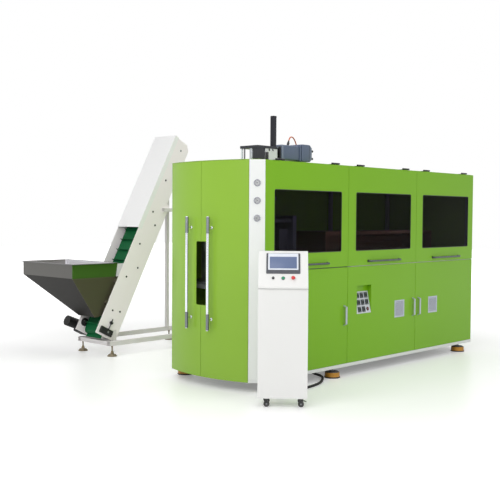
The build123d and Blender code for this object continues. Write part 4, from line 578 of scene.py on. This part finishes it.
def add_frame(shape, width, height, band, depth, corner, where, paint=0):
    """A flat frame of one band width with rounded outer corners, in millimetres."""
    part = bmesh.new()
    bmesh.ops.create_grid(part, x_segments=1, y_segments=1, size=0.0005)
    bmesh.ops.scale(part, vec=(width, height, 1), verts=part.verts)
    bmesh.ops.bevel(
        part, geom=part.verts[:], offset=corner / 1000, affect="VERTICES", segments=5,
        profile=0.5, material=-1,
    )
    middle = part.faces[:]
    bmesh.ops.inset_region(
        part, faces=middle, thickness=band / 1000, use_boundary=True, use_even_offset=True
    )
    bmesh.ops.delete(part, geom=middle, context="FACES")
    thicken(part, part.faces[:], (0, 0, depth / 1000))
    put(shape, part, where, paint)


gasket_black = finish("gasket_black", colour(24, 25, 26), 0.55, dust=0.08)
window_left, window_right, window_middle = 123, 111, 1505.5
for k in (1, 2, 3):
    gasket = bmesh.new()
    pane_left = section_width * (k - 1) + window_left
    pane_right = section_width * k - window_right
    middle = facing(standing((pane_left + pane_right) / 2, 0, window_middle), (0, -1, 0))
    add_frame(gasket, pane_right - pane_left + 5, 576, 6.5, 1.6, 18, middle)
    fitted(f"window_gasket_{k}", gasket, [gasket_black], f"lift_door_body_{k}")

# Lift door handles and hinges: each handle is a bent bar in dark grey enamel on round
# feet. The hinges are black, with three screws in each roof leaf.
dress(finish("handle_grey", colour(84, 89, 92), 0.22, 0.7), "lift_handle_1", "lift_handle_2", "lift_handle_3")
dress(finish("hinge_black", colour(28, 28, 30), 0.45, 0.3), "lift_hinges")
hinge_screws = bmesh.new()
screw_head = [(0, 2.2), (1.6, 2.2), (1.6, 1.0), (2.0, 2.2), (3.4, 1.9), (4.4, 1.0), (4.6, 0)]
leaf_top = 2053
for k in range(3):
    for leaf_left in (section_width * k + 142, section_width * (k + 1) - 256):
        for step in (20, 57, 94):
            seat = facing(standing(leaf_left + step, 46, leaf_top), (0, 0, 1), (0, 1, 0))
            add_turned(hinge_screws, screw_head, seat, 0, 16)
screw_steel = finish("screw_steel", colour(120, 122, 126), 0.3, 0.9)
fitted("hinge_screws", hinge_screws, [screw_steel], "machine")

# Joint strip: a pale strip in the gap between the upper and the lower doors, over
# sections 2 and 3. It is a painted highlight, for the light caught on the doors' folded
# edges there.
strip = bmesh.new()
add_block(strip, (2370, 6, 5), Matrix.Translation(standing(2374, 6, 1067.6)), 0, 0.8)
joint_strip_painted_highlight = finish("joint_strip_painted_highlight", colour(206, 210, 196), 0.5)
fitted("joint_strip", strip, [joint_strip_painted_highlight], "machine")

# Lower doors: the same green pans, with pale strap handles and louvred vents. Door 2
# has a sunk place for the pale socket plate.
front_face = cabinet_front / 1000
strap = ((-wide, -wide, 0.45), (wide, front_face - 0.0004, 0.75), colour(178, 184, 194), 0.35, 0.4)
lower_regions = [strap]
for vent_x in (2075, 2718):
    middle = standing(vent_x, 0, 0).x
    vent_low = (middle - 0.0785, front_face - 0.01, 0.516)
    vent_high = (middle + 0.0785, front_face + 0.0125, 0.674)
    lower_regions.append((vent_low, vent_high, colour(214, 219, 230), 0.45, 0.15))
lower_green = finish(
    "lower_door_gloss", lime, 0.34, regions=lower_regions,
    marks=420.0, depth=0.035, dust=0.04, coat=0.06, specular=0.2,
)
dress(lower_green, "lower_door_1", "lower_door_2", "lower_door_3")
dress(finish("socket_plate_grey", colour(212, 215, 221), 0.4, 0.1), "socket_plate")

# Panel sockets: eight moulded sockets with brass pins and one red lamp, clipped into
# the sloping plate in door 2.


def add_tray(shape, size, where, rim, sunk, paint=0, sunk_paint=None, edge=0.5):
    """A block with eased edges and a sunk face: its back sits at the place it is put."""
    part = bmesh.new()
    width, height, depth = size
    bmesh.ops.create_cube(part, size=0.001)
    bmesh.ops.scale(part, vec=size, verts=part.verts)
    bmesh.ops.translate(part, vec=(0, 0, depth / 2000), verts=part.verts)
    bmesh.ops.bevel(
        part, geom=part.edges[:], offset=edge / 1000, affect="EDGES", segments=2,
        profile=0.5, material=-1,
    )
    front = [max(part.faces, key=lambda face: face.calc_center_median().z)]
    bmesh.ops.inset_region(part, faces=front, thickness=rim / 1000, use_even_offset=True)
    bmesh.ops.inset_region(part, faces=front, thickness=0.0004, use_even_offset=True)
    bmesh.ops.translate(part, vec=(0, 0, -sunk / 1000), verts=front[0].verts)
    centre = front[0].calc_center_median().copy()
    put(shape, part, where, paint)
    if sunk_paint is not None:
        lowest = min(shape.faces, key=lambda face: (face.calc_center_median() - where @ centre).length)
        lowest.material_index = sunk_paint


slope_up = Vector((0, 50, 225)).normalized()
slope_out = Vector((0, -225, 50)).normalized()
plate_middle = facing(standing(1455, 0, 588) + slope_up * 0.11525 + slope_out * 0.003, slope_out, slope_up)
socket_pitch, row_pitch = 68, 70
pin = [(0, 4.6), (2.2, 4.6), (2.8, 3.8), (2.8, 3)]
sockets = bmesh.new()
for column in (-1, 0, 1):
    for row in (-1, 0, 1):
        socket = shifted(plate_middle, column * socket_pitch, row * row_pitch)
        if (column, row) == (1, -1):
            add_turned(sockets, [(19.5, 0), (19.5, 3), (18.5, 4), (16, 4)], socket, 0, 32)
            add_turned(sockets, [(0, 13), (8, 12.4), (13, 10.4), (16, 7), (16, 3)], socket, 2, 32)
            continue
        add_tray(sockets, (44, 54, 8.6), socket, 6.0, 5.0, 0, 1, 1.2)
        for pin_x, pin_y in ((-7.5, -8), (7.5, -8), (0, 9)):
            add_turned(sockets, pin, shifted(socket, pin_x, pin_y), 3, 14)
socket_dark = finish("socket_dark", colour(34, 52, 56), 0.4, dust=0.05)
socket_face = finish("socket_face", colour(20, 30, 33), 0.5, dust=0.05)
lens_red = finish("lens_red", colour(96, 18, 26), 0.2, coat=0.4, dust=0.0)
pin_brass = finish("pin_brass", colour(120, 112, 84), 0.35, 0.9, dust=0.0)
socket_finishes = [socket_dark, socket_face, lens_red, pin_brass]
fitted("panel_sockets", sockets, socket_finishes, "lower_door_body_2")

# End door bars: polished tube on two posts each, with a ribbed sleeve at both ends.
bar_chrome = finish("bar_chrome", colour(212, 214, 222), 0.14, 1.0, marks=500.0, depth=0.02, dust=0.02)
dress(bar_chrome, "pull_handle_front", "pull_handle_rear")
grip_grey = finish(
    "grip_grey", colour(122, 126, 132), 0.4, 0.85, stretch=(1, 1, 6), marks=700.0, depth=0.2, dust=0.04
)
bar_radius = 0.014
for side in ("front", "rear"):
    low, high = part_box(f"pull_handle_{side}")
    grips = bmesh.new()
    bar = facing(Vector((low[0] + bar_radius, 0, 0)), (0, 0, 1), (0, 1, 0))
    bar.translation.y = low[1] + bar_radius if side == "front" else high[1] - bar_radius
    for bottom, top in ((531, 676), (1396, 1542)):
        sleeve = [(14.05, bottom), (14.9, bottom + 0.8), (14.9, top - 0.8), (14.05, top)]
        add_turned(grips, sleeve, bar, 0, 36)
    fitted(f"bar_grips_{side}", grips, [grip_grey], f"end_door_{side}_body")

# Stretch unit on the roof: dark plates and block, a white rack housing and a black
# toothed rack that slides through it.
light_post = (standing(418, 698, 2060)[:], standing(446, 726, 2199)[:], colour(205, 209, 216), 0.35, 0.5)
guide_post = (standing(424, 562, 2066)[:], standing(476, 624, 2199)[:], colour(176, 178, 188), 0.35, 0.5)
unit_metal = finish(
    "unit_metal", colour(48, 48, 58), 0.42, 0.3, regions=[light_post, guide_post], marks=600.0, depth=0.1
)
dress(unit_metal, "stretch_frame")
dress(finish("housing_white", colour(230, 228, 240), 0.35, 0.0), "rack_housing")
dress(finish("rack_black", colour(34, 34, 42), 0.4, 0.5), "stretch_rack")
dress(finish("carriage_steel", colour(150, 152, 156), 0.3, 0.9), "stretch_carriage")

# Servo motor: a black gearbox neck with tie rods, a blue grey body behind a square front
# plate, and a taller brake and encoder housing with a bevelled end and two plugs.
servo_blue = finish("servo_blue_grey", colour(92, 104, 134), 0.38, 0.1, marks=500.0, depth=0.15)
servo_edge = finish("servo_edge", colour(122, 132, 156), 0.32, 0.15, marks=500.0, depth=0.1)
neck_black = finish("neck_black", colour(34, 34, 40), 0.45, 0.2)
motor_y = 609
motor_lengths = [  # from, to, half width, height of its middle, edge, paint
    (699, 722, 60, 2172, 4.0, 2),
    (722, 788, 44, 2172, 6.0, 2),
    (788, 806, 66, 2172, 5.0, 2),
    (806, 832, 76, 2180, 5.0, 1),
    (832, 1072, 72, 2184, 10.0, 0),
    (1072, 1092, 80, 2188, 4.0, 0),
    (1092, 1100, 72, 2186, 2.0, 2),
    (1100, 1216, 86, 2190, 8.0, 0),
]
motor_body = bmesh.new()
for first_x, last_x, half, height, edge, paint in motor_lengths:
    middle = Matrix.Translation(standing((first_x + last_x) / 2, motor_y, height))
    add_block(motor_body, (last_x - first_x, 2 * half, 2 * half), middle, paint, edge, 4)
bevelled = shifted(facing(standing(1216, motor_y, 2188), (1, 0, 0)), turn=45)
add_turned(motor_body, [(119, 0), (119, 3), (82, 66), (76, 72), (0, 72)], bevelled, 0, 4)
for rod_side, rod_height in ((-52, 52), (-52, -52), (52, 52), (52, -52)):
    rod = facing(standing(722, motor_y + rod_side, 2172 + rod_height), (1, 0, 0))
    add_turned(motor_body, [(5, 0), (5, 66)], rod, 1, 16)
    add_turned(motor_body, [(0, 0), (8, 0), (8, -7), (5, -9), (0, -9)], shifted(rod, z=64), 2, 16)
for height in (2219, 2142):
    plug = facing(standing(1276, 572, height), (1, 0, 0))
    add_turned(motor_body, [(15, 0), (15, 16), (12, 18), (12, 40), (10, 42), (0, 42)], plug, 2, 24)
cable_side = (gland - start).to_2d().normalized()
stub_way = Vector((*(cable_side * cos(radians(60))), sin(radians(60))))
add_turned(motor_body, [(13, 0), (13, 35), (0, 35)], facing(start - stub_way * 0.035, stub_way), 2, 28)
motor_piece = fitted("servo_motor_body", motor_body, [servo_blue, servo_edge, neck_black], "machine")
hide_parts("servo_motor")

# Rack guide on the housing's front: a black steel clamping strip, and the heads of the
# two black screws that close the housing.
guide = bmesh.new()
add_block(guide, (40, 5, 96), Matrix.Translation(standing(551, 495, 2118)), 0, 1.5)
for screw_x in (584, 634):
    seat = facing(standing(screw_x, 497, 2188), (0, -1, 0))
    add_turned(guide, [(0, 5), (8, 5), (9.5, 3.6), (9.5, 0)], seat, 0, 20)
fitted("rack_guide", guide, [neck_black], "machine")

# Moulds: machined aluminium halves on cast platens. Ground tie bars guide the moving
# half.
mould_metal = finish("mould_metal", colour(170, 172, 176), 0.32, 0.9, stretch=(1, 8, 1), marks=300.0)
dress(mould_metal, "fixed_mould", "moving_mould")

# Oven: a folded case of bright sheet with rows of lamp tubes, warmed to a brown tone. It
# stands on the bed.
dress(finish("oven_sheet", colour(168, 120, 92), 0.35, 0.8), "heating_oven")

# Elevator: welded tube frame and folded side plates in an off white, under a white
# cover. Its feet are bronzed discs on studs.
bronze = ((-wide, -wide, 0.0), (wide, wide, 0.1145), colour(112, 98, 70), 0.35, 0.7)
dress(finish("elevator_white", colour(226, 222, 222), 0.4, regions=[bronze], dust=0.2), "elevator_frame")
dress(finish("side_plate_white", colour(250, 243, 245), 0.4, dust=0.08), "side_plates")
dress(finish("cover_white", colour(244, 244, 244), 0.4, dust=0.1), "belt_cover")

# Plate screws: black button heads in two rows, through the side plates into the frame
# and the under-pan.
incline = radians(62.4)
tail_x, tail_z = 226, 263
up_run = Vector((cos(incline), 0, sin(incline)))
out_run = Vector((-sin(incline), 0, cos(incline)))


def on_run(s, n, y):
    """A place on the elevator: s up its run and n out of the carrying side, from the tail shaft."""
    return standing(tail_x, y, tail_z) + (up_run * s + out_run * n) / 1000


plate_sides = ((2590, -1), (2970, 1))
plate_screws = bmesh.new()
button_head = [(0, 1.2), (3.6, 1.2), (4.0, 5.0), (6.0, 5.6), (9.2, 4.4), (11.2, 2.0), (11.4, 0)]
upper_row = [(242 + 414 * k, 40) for k in range(5)]
lower_row = [(268 + 545 * k, -60) for k in range(3)]
for y, way in plate_sides:
    for s, n in upper_row + lower_row:
        add_turned(plate_screws, button_head, facing(on_run(s, n, y), (0, way, 0)), 0, 20)
screw_black = finish("screw_black", colour(20, 20, 22), 0.5, 0.2)
fitted("plate_screws", plate_screws, [screw_black], "machine")

# Take-up screws: a threaded rod pulls each take-up block down its slot. It runs in a lug
# above the block and is locked by a nut on each side.
take_up_screws = bmesh.new()
thread_turns, thread_pitch = 44, 2.6
thread = [(0, 0)]
for turn in range(thread_turns):
    thread += [(5.2, thread_pitch * turn), (6.0, thread_pitch * turn + 1.3)]
thread += [(5.2, 116), (4.4, 117.5), (0, 117.5)]
nut = [(6.1, 0), (10.4, 0), (11, 0.8), (11, 8.2), (10.4, 9), (6.1, 9), (6.1, 0)]
for y, way in plate_sides:
    rod_way = facing(on_run(36, 0, y + 13 * way), up_run, (0, -1, 0))
    add_turned(take_up_screws, thread, rod_way, 0, 20)
    add_turned(take_up_screws, nut, shifted(rod_way, z=52), 0, 6)
    add_turned(take_up_screws, nut, shifted(rod_way, z=84), 0, 6)
    add_block(take_up_screws, (34, 25, 23), shifted(rod_way, z=72.5), 1, 1.5)
bolt_steel = finish("bolt_steel", colour(92, 94, 98), 0.35, 0.85, dust=0.1)
lug_black = finish("lug_black", colour(32, 32, 34), 0.45, 0.3)
fitted("take_up_screws", take_up_screws, [bolt_steel, lug_black], "machine")

# Drive flange: a black bearing flange on the far side plate's inner face, with the bright
# end of the gear motor's shaft in it.
drive_flange = bmesh.new()
boss = facing(standing(191, 2966, 341), (0, -1, 0))
flange = [(8, 0), (46, 0), (46, 10), (42, 13), (26, 14), (25, 26), (22, 29), (9, 30), (8, 28)]
add_turned(drive_flange, flange, boss, 0, 36)
add_turned(drive_flange, [(0, 31), (7, 31), (8, 30), (8, 20)], boss, 1, 24)
fitted("drive_flange", drive_flange, [screw_black, bolt_steel], "machine")

# Cleated belt: green PVC with welded upright cleats, run round two steel drums. The tail
# drum turns in black take-up blocks, and a black gear motor drives it.
belt_green = finish(
    "belt_green", colour(2, 92, 50), 0.5, marks=1500.0, depth=0.2, dust=0.0, specular=0.15
)
dress(belt_green, "cleated_belt")
dress(finish("drum_steel", colour(150, 152, 154), 0.3, 0.9), "head_drum", "tail_drum")
dress(finish("block_black", colour(24, 24, 26), 0.5, 0.2), "take_up_blocks")
dress(finish("motor_black", colour(15, 15, 17), 0.5, dust=0.05, specular=0.25), "gear_motor")

# Hopper: folded and welded stainless sheet, brushed, which mirrors the green machine and
# the dark floor side. These mirrorings are painted into its tone as painted reflections,
# and its far and right walls above the waist are painted paler as painted light. A
# turned-out rim stiffens its upper edge.
low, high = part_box("hopper")
waist, rim = 0.867, 1.0195
near_wall = standing(0, 2638, 0).y
# Painted reflections below the waist: the near cone wall is a brownish grey and the rest of the cone a darker
# grey, for the shaded floor and machine they mirror.
near_cone_painted_reflection = ((-wide, -wide, 0.0), (wide, near_wall, waist), colour(84, 81, 64), 0.4, 0.35)
cone = ((-wide, near_wall, 0.0), (wide, wide, waist), colour(55, 54, 52), 0.5, 1.0)
# Painted reflection: the band's near side is green, for the green rear panels it mirrors.
near_band_painted_reflection = ((-wide, -wide, waist), (wide, near_wall, rim), colour(78, 116, 52), 0.25, 0.5)
# Painted light: the far inner wall and the right end above the waist are paler, for the light that falls
# there.
far_wall_painted_light = ((-wide, high[1] - 0.018, waist), (wide, wide, rim), colour(150, 147, 145), 0.4, 0.5)
right_end_painted_light = ((high[0] - 0.05, -wide, waist), (wide, wide, rim), colour(232, 230, 236), 0.4, 0.1)
hopper_steel = finish(
    "hopper_stainless", colour(96, 95, 92), 0.38, 1.0,
    regions=[cone, near_cone_painted_reflection, far_wall_painted_light, right_end_painted_light, near_band_painted_reflection],
    stretch=(1, 1, 14), marks=160.0, depth=0.05,
)
dress(hopper_steel, "hopper")
lip_strips = [  # left, right, near, far
    (-227, -197.2, 2604, 3630),
    (-197, 330, 2604, 2633.8),
    (-197, 405, 3616.2, 3630),
]
lip = bmesh.new()
for left, right, near, far in lip_strips:
    middle = Matrix.Translation(standing((left + right) / 2, (near + far) / 2, 1018.5))
    add_block(lip, (right - left, far - near, 7.0), middle, 0, 1.0)
lip_steel = finish("lip_steel", colour(112, 111, 112), 0.4, 1.0, marks=300.0)
fitted("hopper_lip", lip, [lip_steel], "machine")

# Hopper cheek: the near wall's sheet carried on to the side plate, and above it a pale
# plate that ties the rim to the elevator.


def add_sheet(shape, corners, near, thickness, paint=0):
    """A flat sheet that stands along the cabinet's length, from its corners in millimetres."""
    part = bmesh.new()
    outline = part.faces.new([part.verts.new(standing(x, near, z)) for x, z in corners])
    thicken(part, [outline], (0, thickness / 1000, 0))
    put(shape, part, Matrix.Identity(4), paint)


cheek = bmesh.new()
add_sheet(cheek, [(140, 440), (216, 440), (446, 867), (360, 867)], 2634.4, 1.2, 0)
add_sheet(cheek, [(384, 868), (447, 868), (515, 1000), (515, 1012), (404, 1012)], 2636.4, 1.6, 1)
bracket_white = finish("bracket_white", colour(228, 228, 226), 0.4, dust=0.08)
fitted("hopper_cheek", cheek, [hopper_steel, bracket_white], "machine")

# Control pedestal: folded sheet in a light grey enamel. Its head stands on the body, and
# a grey band round the body where they meet is a painted shadow, for the shade under the
# head's overhang.
dress(finish("pedestal_grey", colour(236, 236, 234), 0.4, dust=0.06), "pedestal_body", "console_head")
heading = radians(-48)
right_way = Vector((cos(heading), sin(heading), 0))
back_way = Vector((-sin(heading), cos(heading), 0))
pedestal_corner = standing(-455, -352, 0)
pedestal_middle = 202.5


def beside(right, back, height):
    """A place measured right, back and up from the pedestal's front left corner."""
    return pedestal_corner + (right_way * right + back_way * back + Vector((0, 0, height))) / 1000


# A grey band round the top of the body: painted shadow under the head's overhang.
seam = bmesh.new()
seam_middle = facing(beside(pedestal_middle, 117.5, 967.5), (0, 0, 1), back_way)
add_frame(seam, 406.4, 236.4, 3.0, 3.0, 0.5, seam_middle)
head_seam_painted_shadow = finish("head_seam_painted_shadow", colour(150, 151, 148), 0.6, dust=0.0)
fitted("head_seam", seam, [head_seam_painted_shadow], "machine")

# Touch screen: a dark moulded bezel with a pale inner frame and a dimmed blue-grey
# display, let into the head's sloping face. The display sits low in the frame, and the
# wide pale band it leaves along the top is a painted reflection.
tilt = radians(33)
face_out = -back_way * cos(tilt) + Vector((0, 0, sin(tilt)))
face_up = back_way * sin(tilt) + Vector((0, 0, cos(tilt)))
top_edge = beside(pedestal_middle, 280 * tan(tilt) - 12, 1266)
head_face = facing(top_edge, face_out, face_up)
dress(finish("bezel_grey", colour(60, 64, 74), 0.45), "touch_screen")
screen_front = bmesh.new()
# The pale frame's wide band above the display is a painted reflection.
add_tray(screen_front, (247, 154, 2.0), shifted(head_face, 0, -102, 4.6), 12.0, 1.0, 0, 0, 0.4)
add_block(screen_front, (224, 111, 1.6), shifted(head_face, 1.5, -111, 5.6), 1, 0.3)
frame_pale = finish("screen_frame_pale", colour(226, 231, 240), 0.3, dust=0.0, coat=0.2)
display = finish("display_blue", colour(96, 112, 148), 0.35, dust=0.0, unevenness=0.3, coat=0.1)
fitted("screen_front", screen_front, [frame_pale, display], "machine")

# Selector, start button and emergency stop: a black knob with a pale mark, a green
# button in a plated ring and a red mushroom, each on a stem through the head.
button_spacing, button_drop = 81, -255
selector_black = finish("selector_black", colour(22, 22, 24), 0.35)
knob = bmesh.new()
knob_place = shifted(head_face, -button_spacing, button_drop)
collar = [(0, -20), (6.5, -20), (6.5, 4.6), (11.5, 4.6), (11.5, 8), (10.5, 9), (0, 9)]
add_turned(knob, collar, knob_place, 0, 36)
add_block(knob, (6, 21, 9), shifted(knob_place, z=13), 0, 1.2)
add_block(knob, (1.2, 8, 0.6), shifted(knob_place, y=5.5, z=17.6), 1, 0.1, 1)
knob_piece = fitted("selector_knob", knob, [selector_black, frame_pale], "selector_body")
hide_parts("selector_switch")
dress(finish("start_green", colour(10, 140, 96), 0.3), "start_button")
stop_red = finish("stop_red", colour(208, 30, 30), 0.35)
mushroom = bmesh.new()
stop_place = shifted(head_face, button_spacing, button_drop)
stop_cap = [(10, 11), (15, 10.5), (16.5, 12), (16.5, 15), (14.5, 18), (10, 19.5), (0, 20)]
add_turned(mushroom, [(0, -24), (7.8, -24), (7.8, 10), (10, 11)], stop_place, 1, 36)
add_turned(mushroom, stop_cap, stop_place, 0, 36)
stop_piece = fitted("stop_mushroom", mushroom, [stop_red, selector_black], "stop_body")
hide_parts("emergency_stop")
button_ring = bmesh.new()
ring_profile = [
    (13.0, 0), (13.0, 1.4), (13.6, 2.0), (15.2, 2.0), (15.9, 1.2), (15.9, -1), (13.0, -1), (13.0, 0),
]
add_turned(button_ring, ring_profile, shifted(head_face, 0, button_drop, 4), 0, 36)
fitted("start_button_ring", button_ring, [screw_steel], "machine")

# Castors: a pressed fork on a swivel plate, a moulded black wheel with a grey hub cap,
# and on the two at the right a brake pedal.
castor_places = ((62, 52), (343, 52), (62, 183), (343, 183))
castor_black = finish("castor_black", colour(34, 35, 38), 0.4, 0.3)
castor_tread = finish("castor_tread", colour(46, 46, 48), 0.6, dust=0.2)
hub_grey = finish("hub_grey", colour(128, 130, 134), 0.45, dust=0.1)
for n, (right, back) in enumerate(castor_places, start=1):
    dress(castor_black, f"castor_fork_{n}")
    dress(castor_tread, f"castor_wheel_{n}")
    caps = bmesh.new()
    for way in (-1, 1):
        cap = facing(beside(right + 12, back + 13.8 * way, 25), back_way * way)
        add_turned(caps, [(0, 2.2), (4, 2.0), (6.5, 1.2), (7.5, 0)], cap, 0, 24)
    if n in (2, 4):
        pedal = facing(beside(right + 46, back, 50), right_way * 0.5 + Vector((0, 0, 1)), back_way)
        add_block(caps, (26, 20, 3), pedal, 1, 1.0)
        add_block(caps, (34, 8, 3), shifted(pedal, -14, 0, -4), 1, 1.0)
    fitted(f"castor_trim_{n}", caps, [hub_grey, gland_black], f"castor_fork_body_{n}")
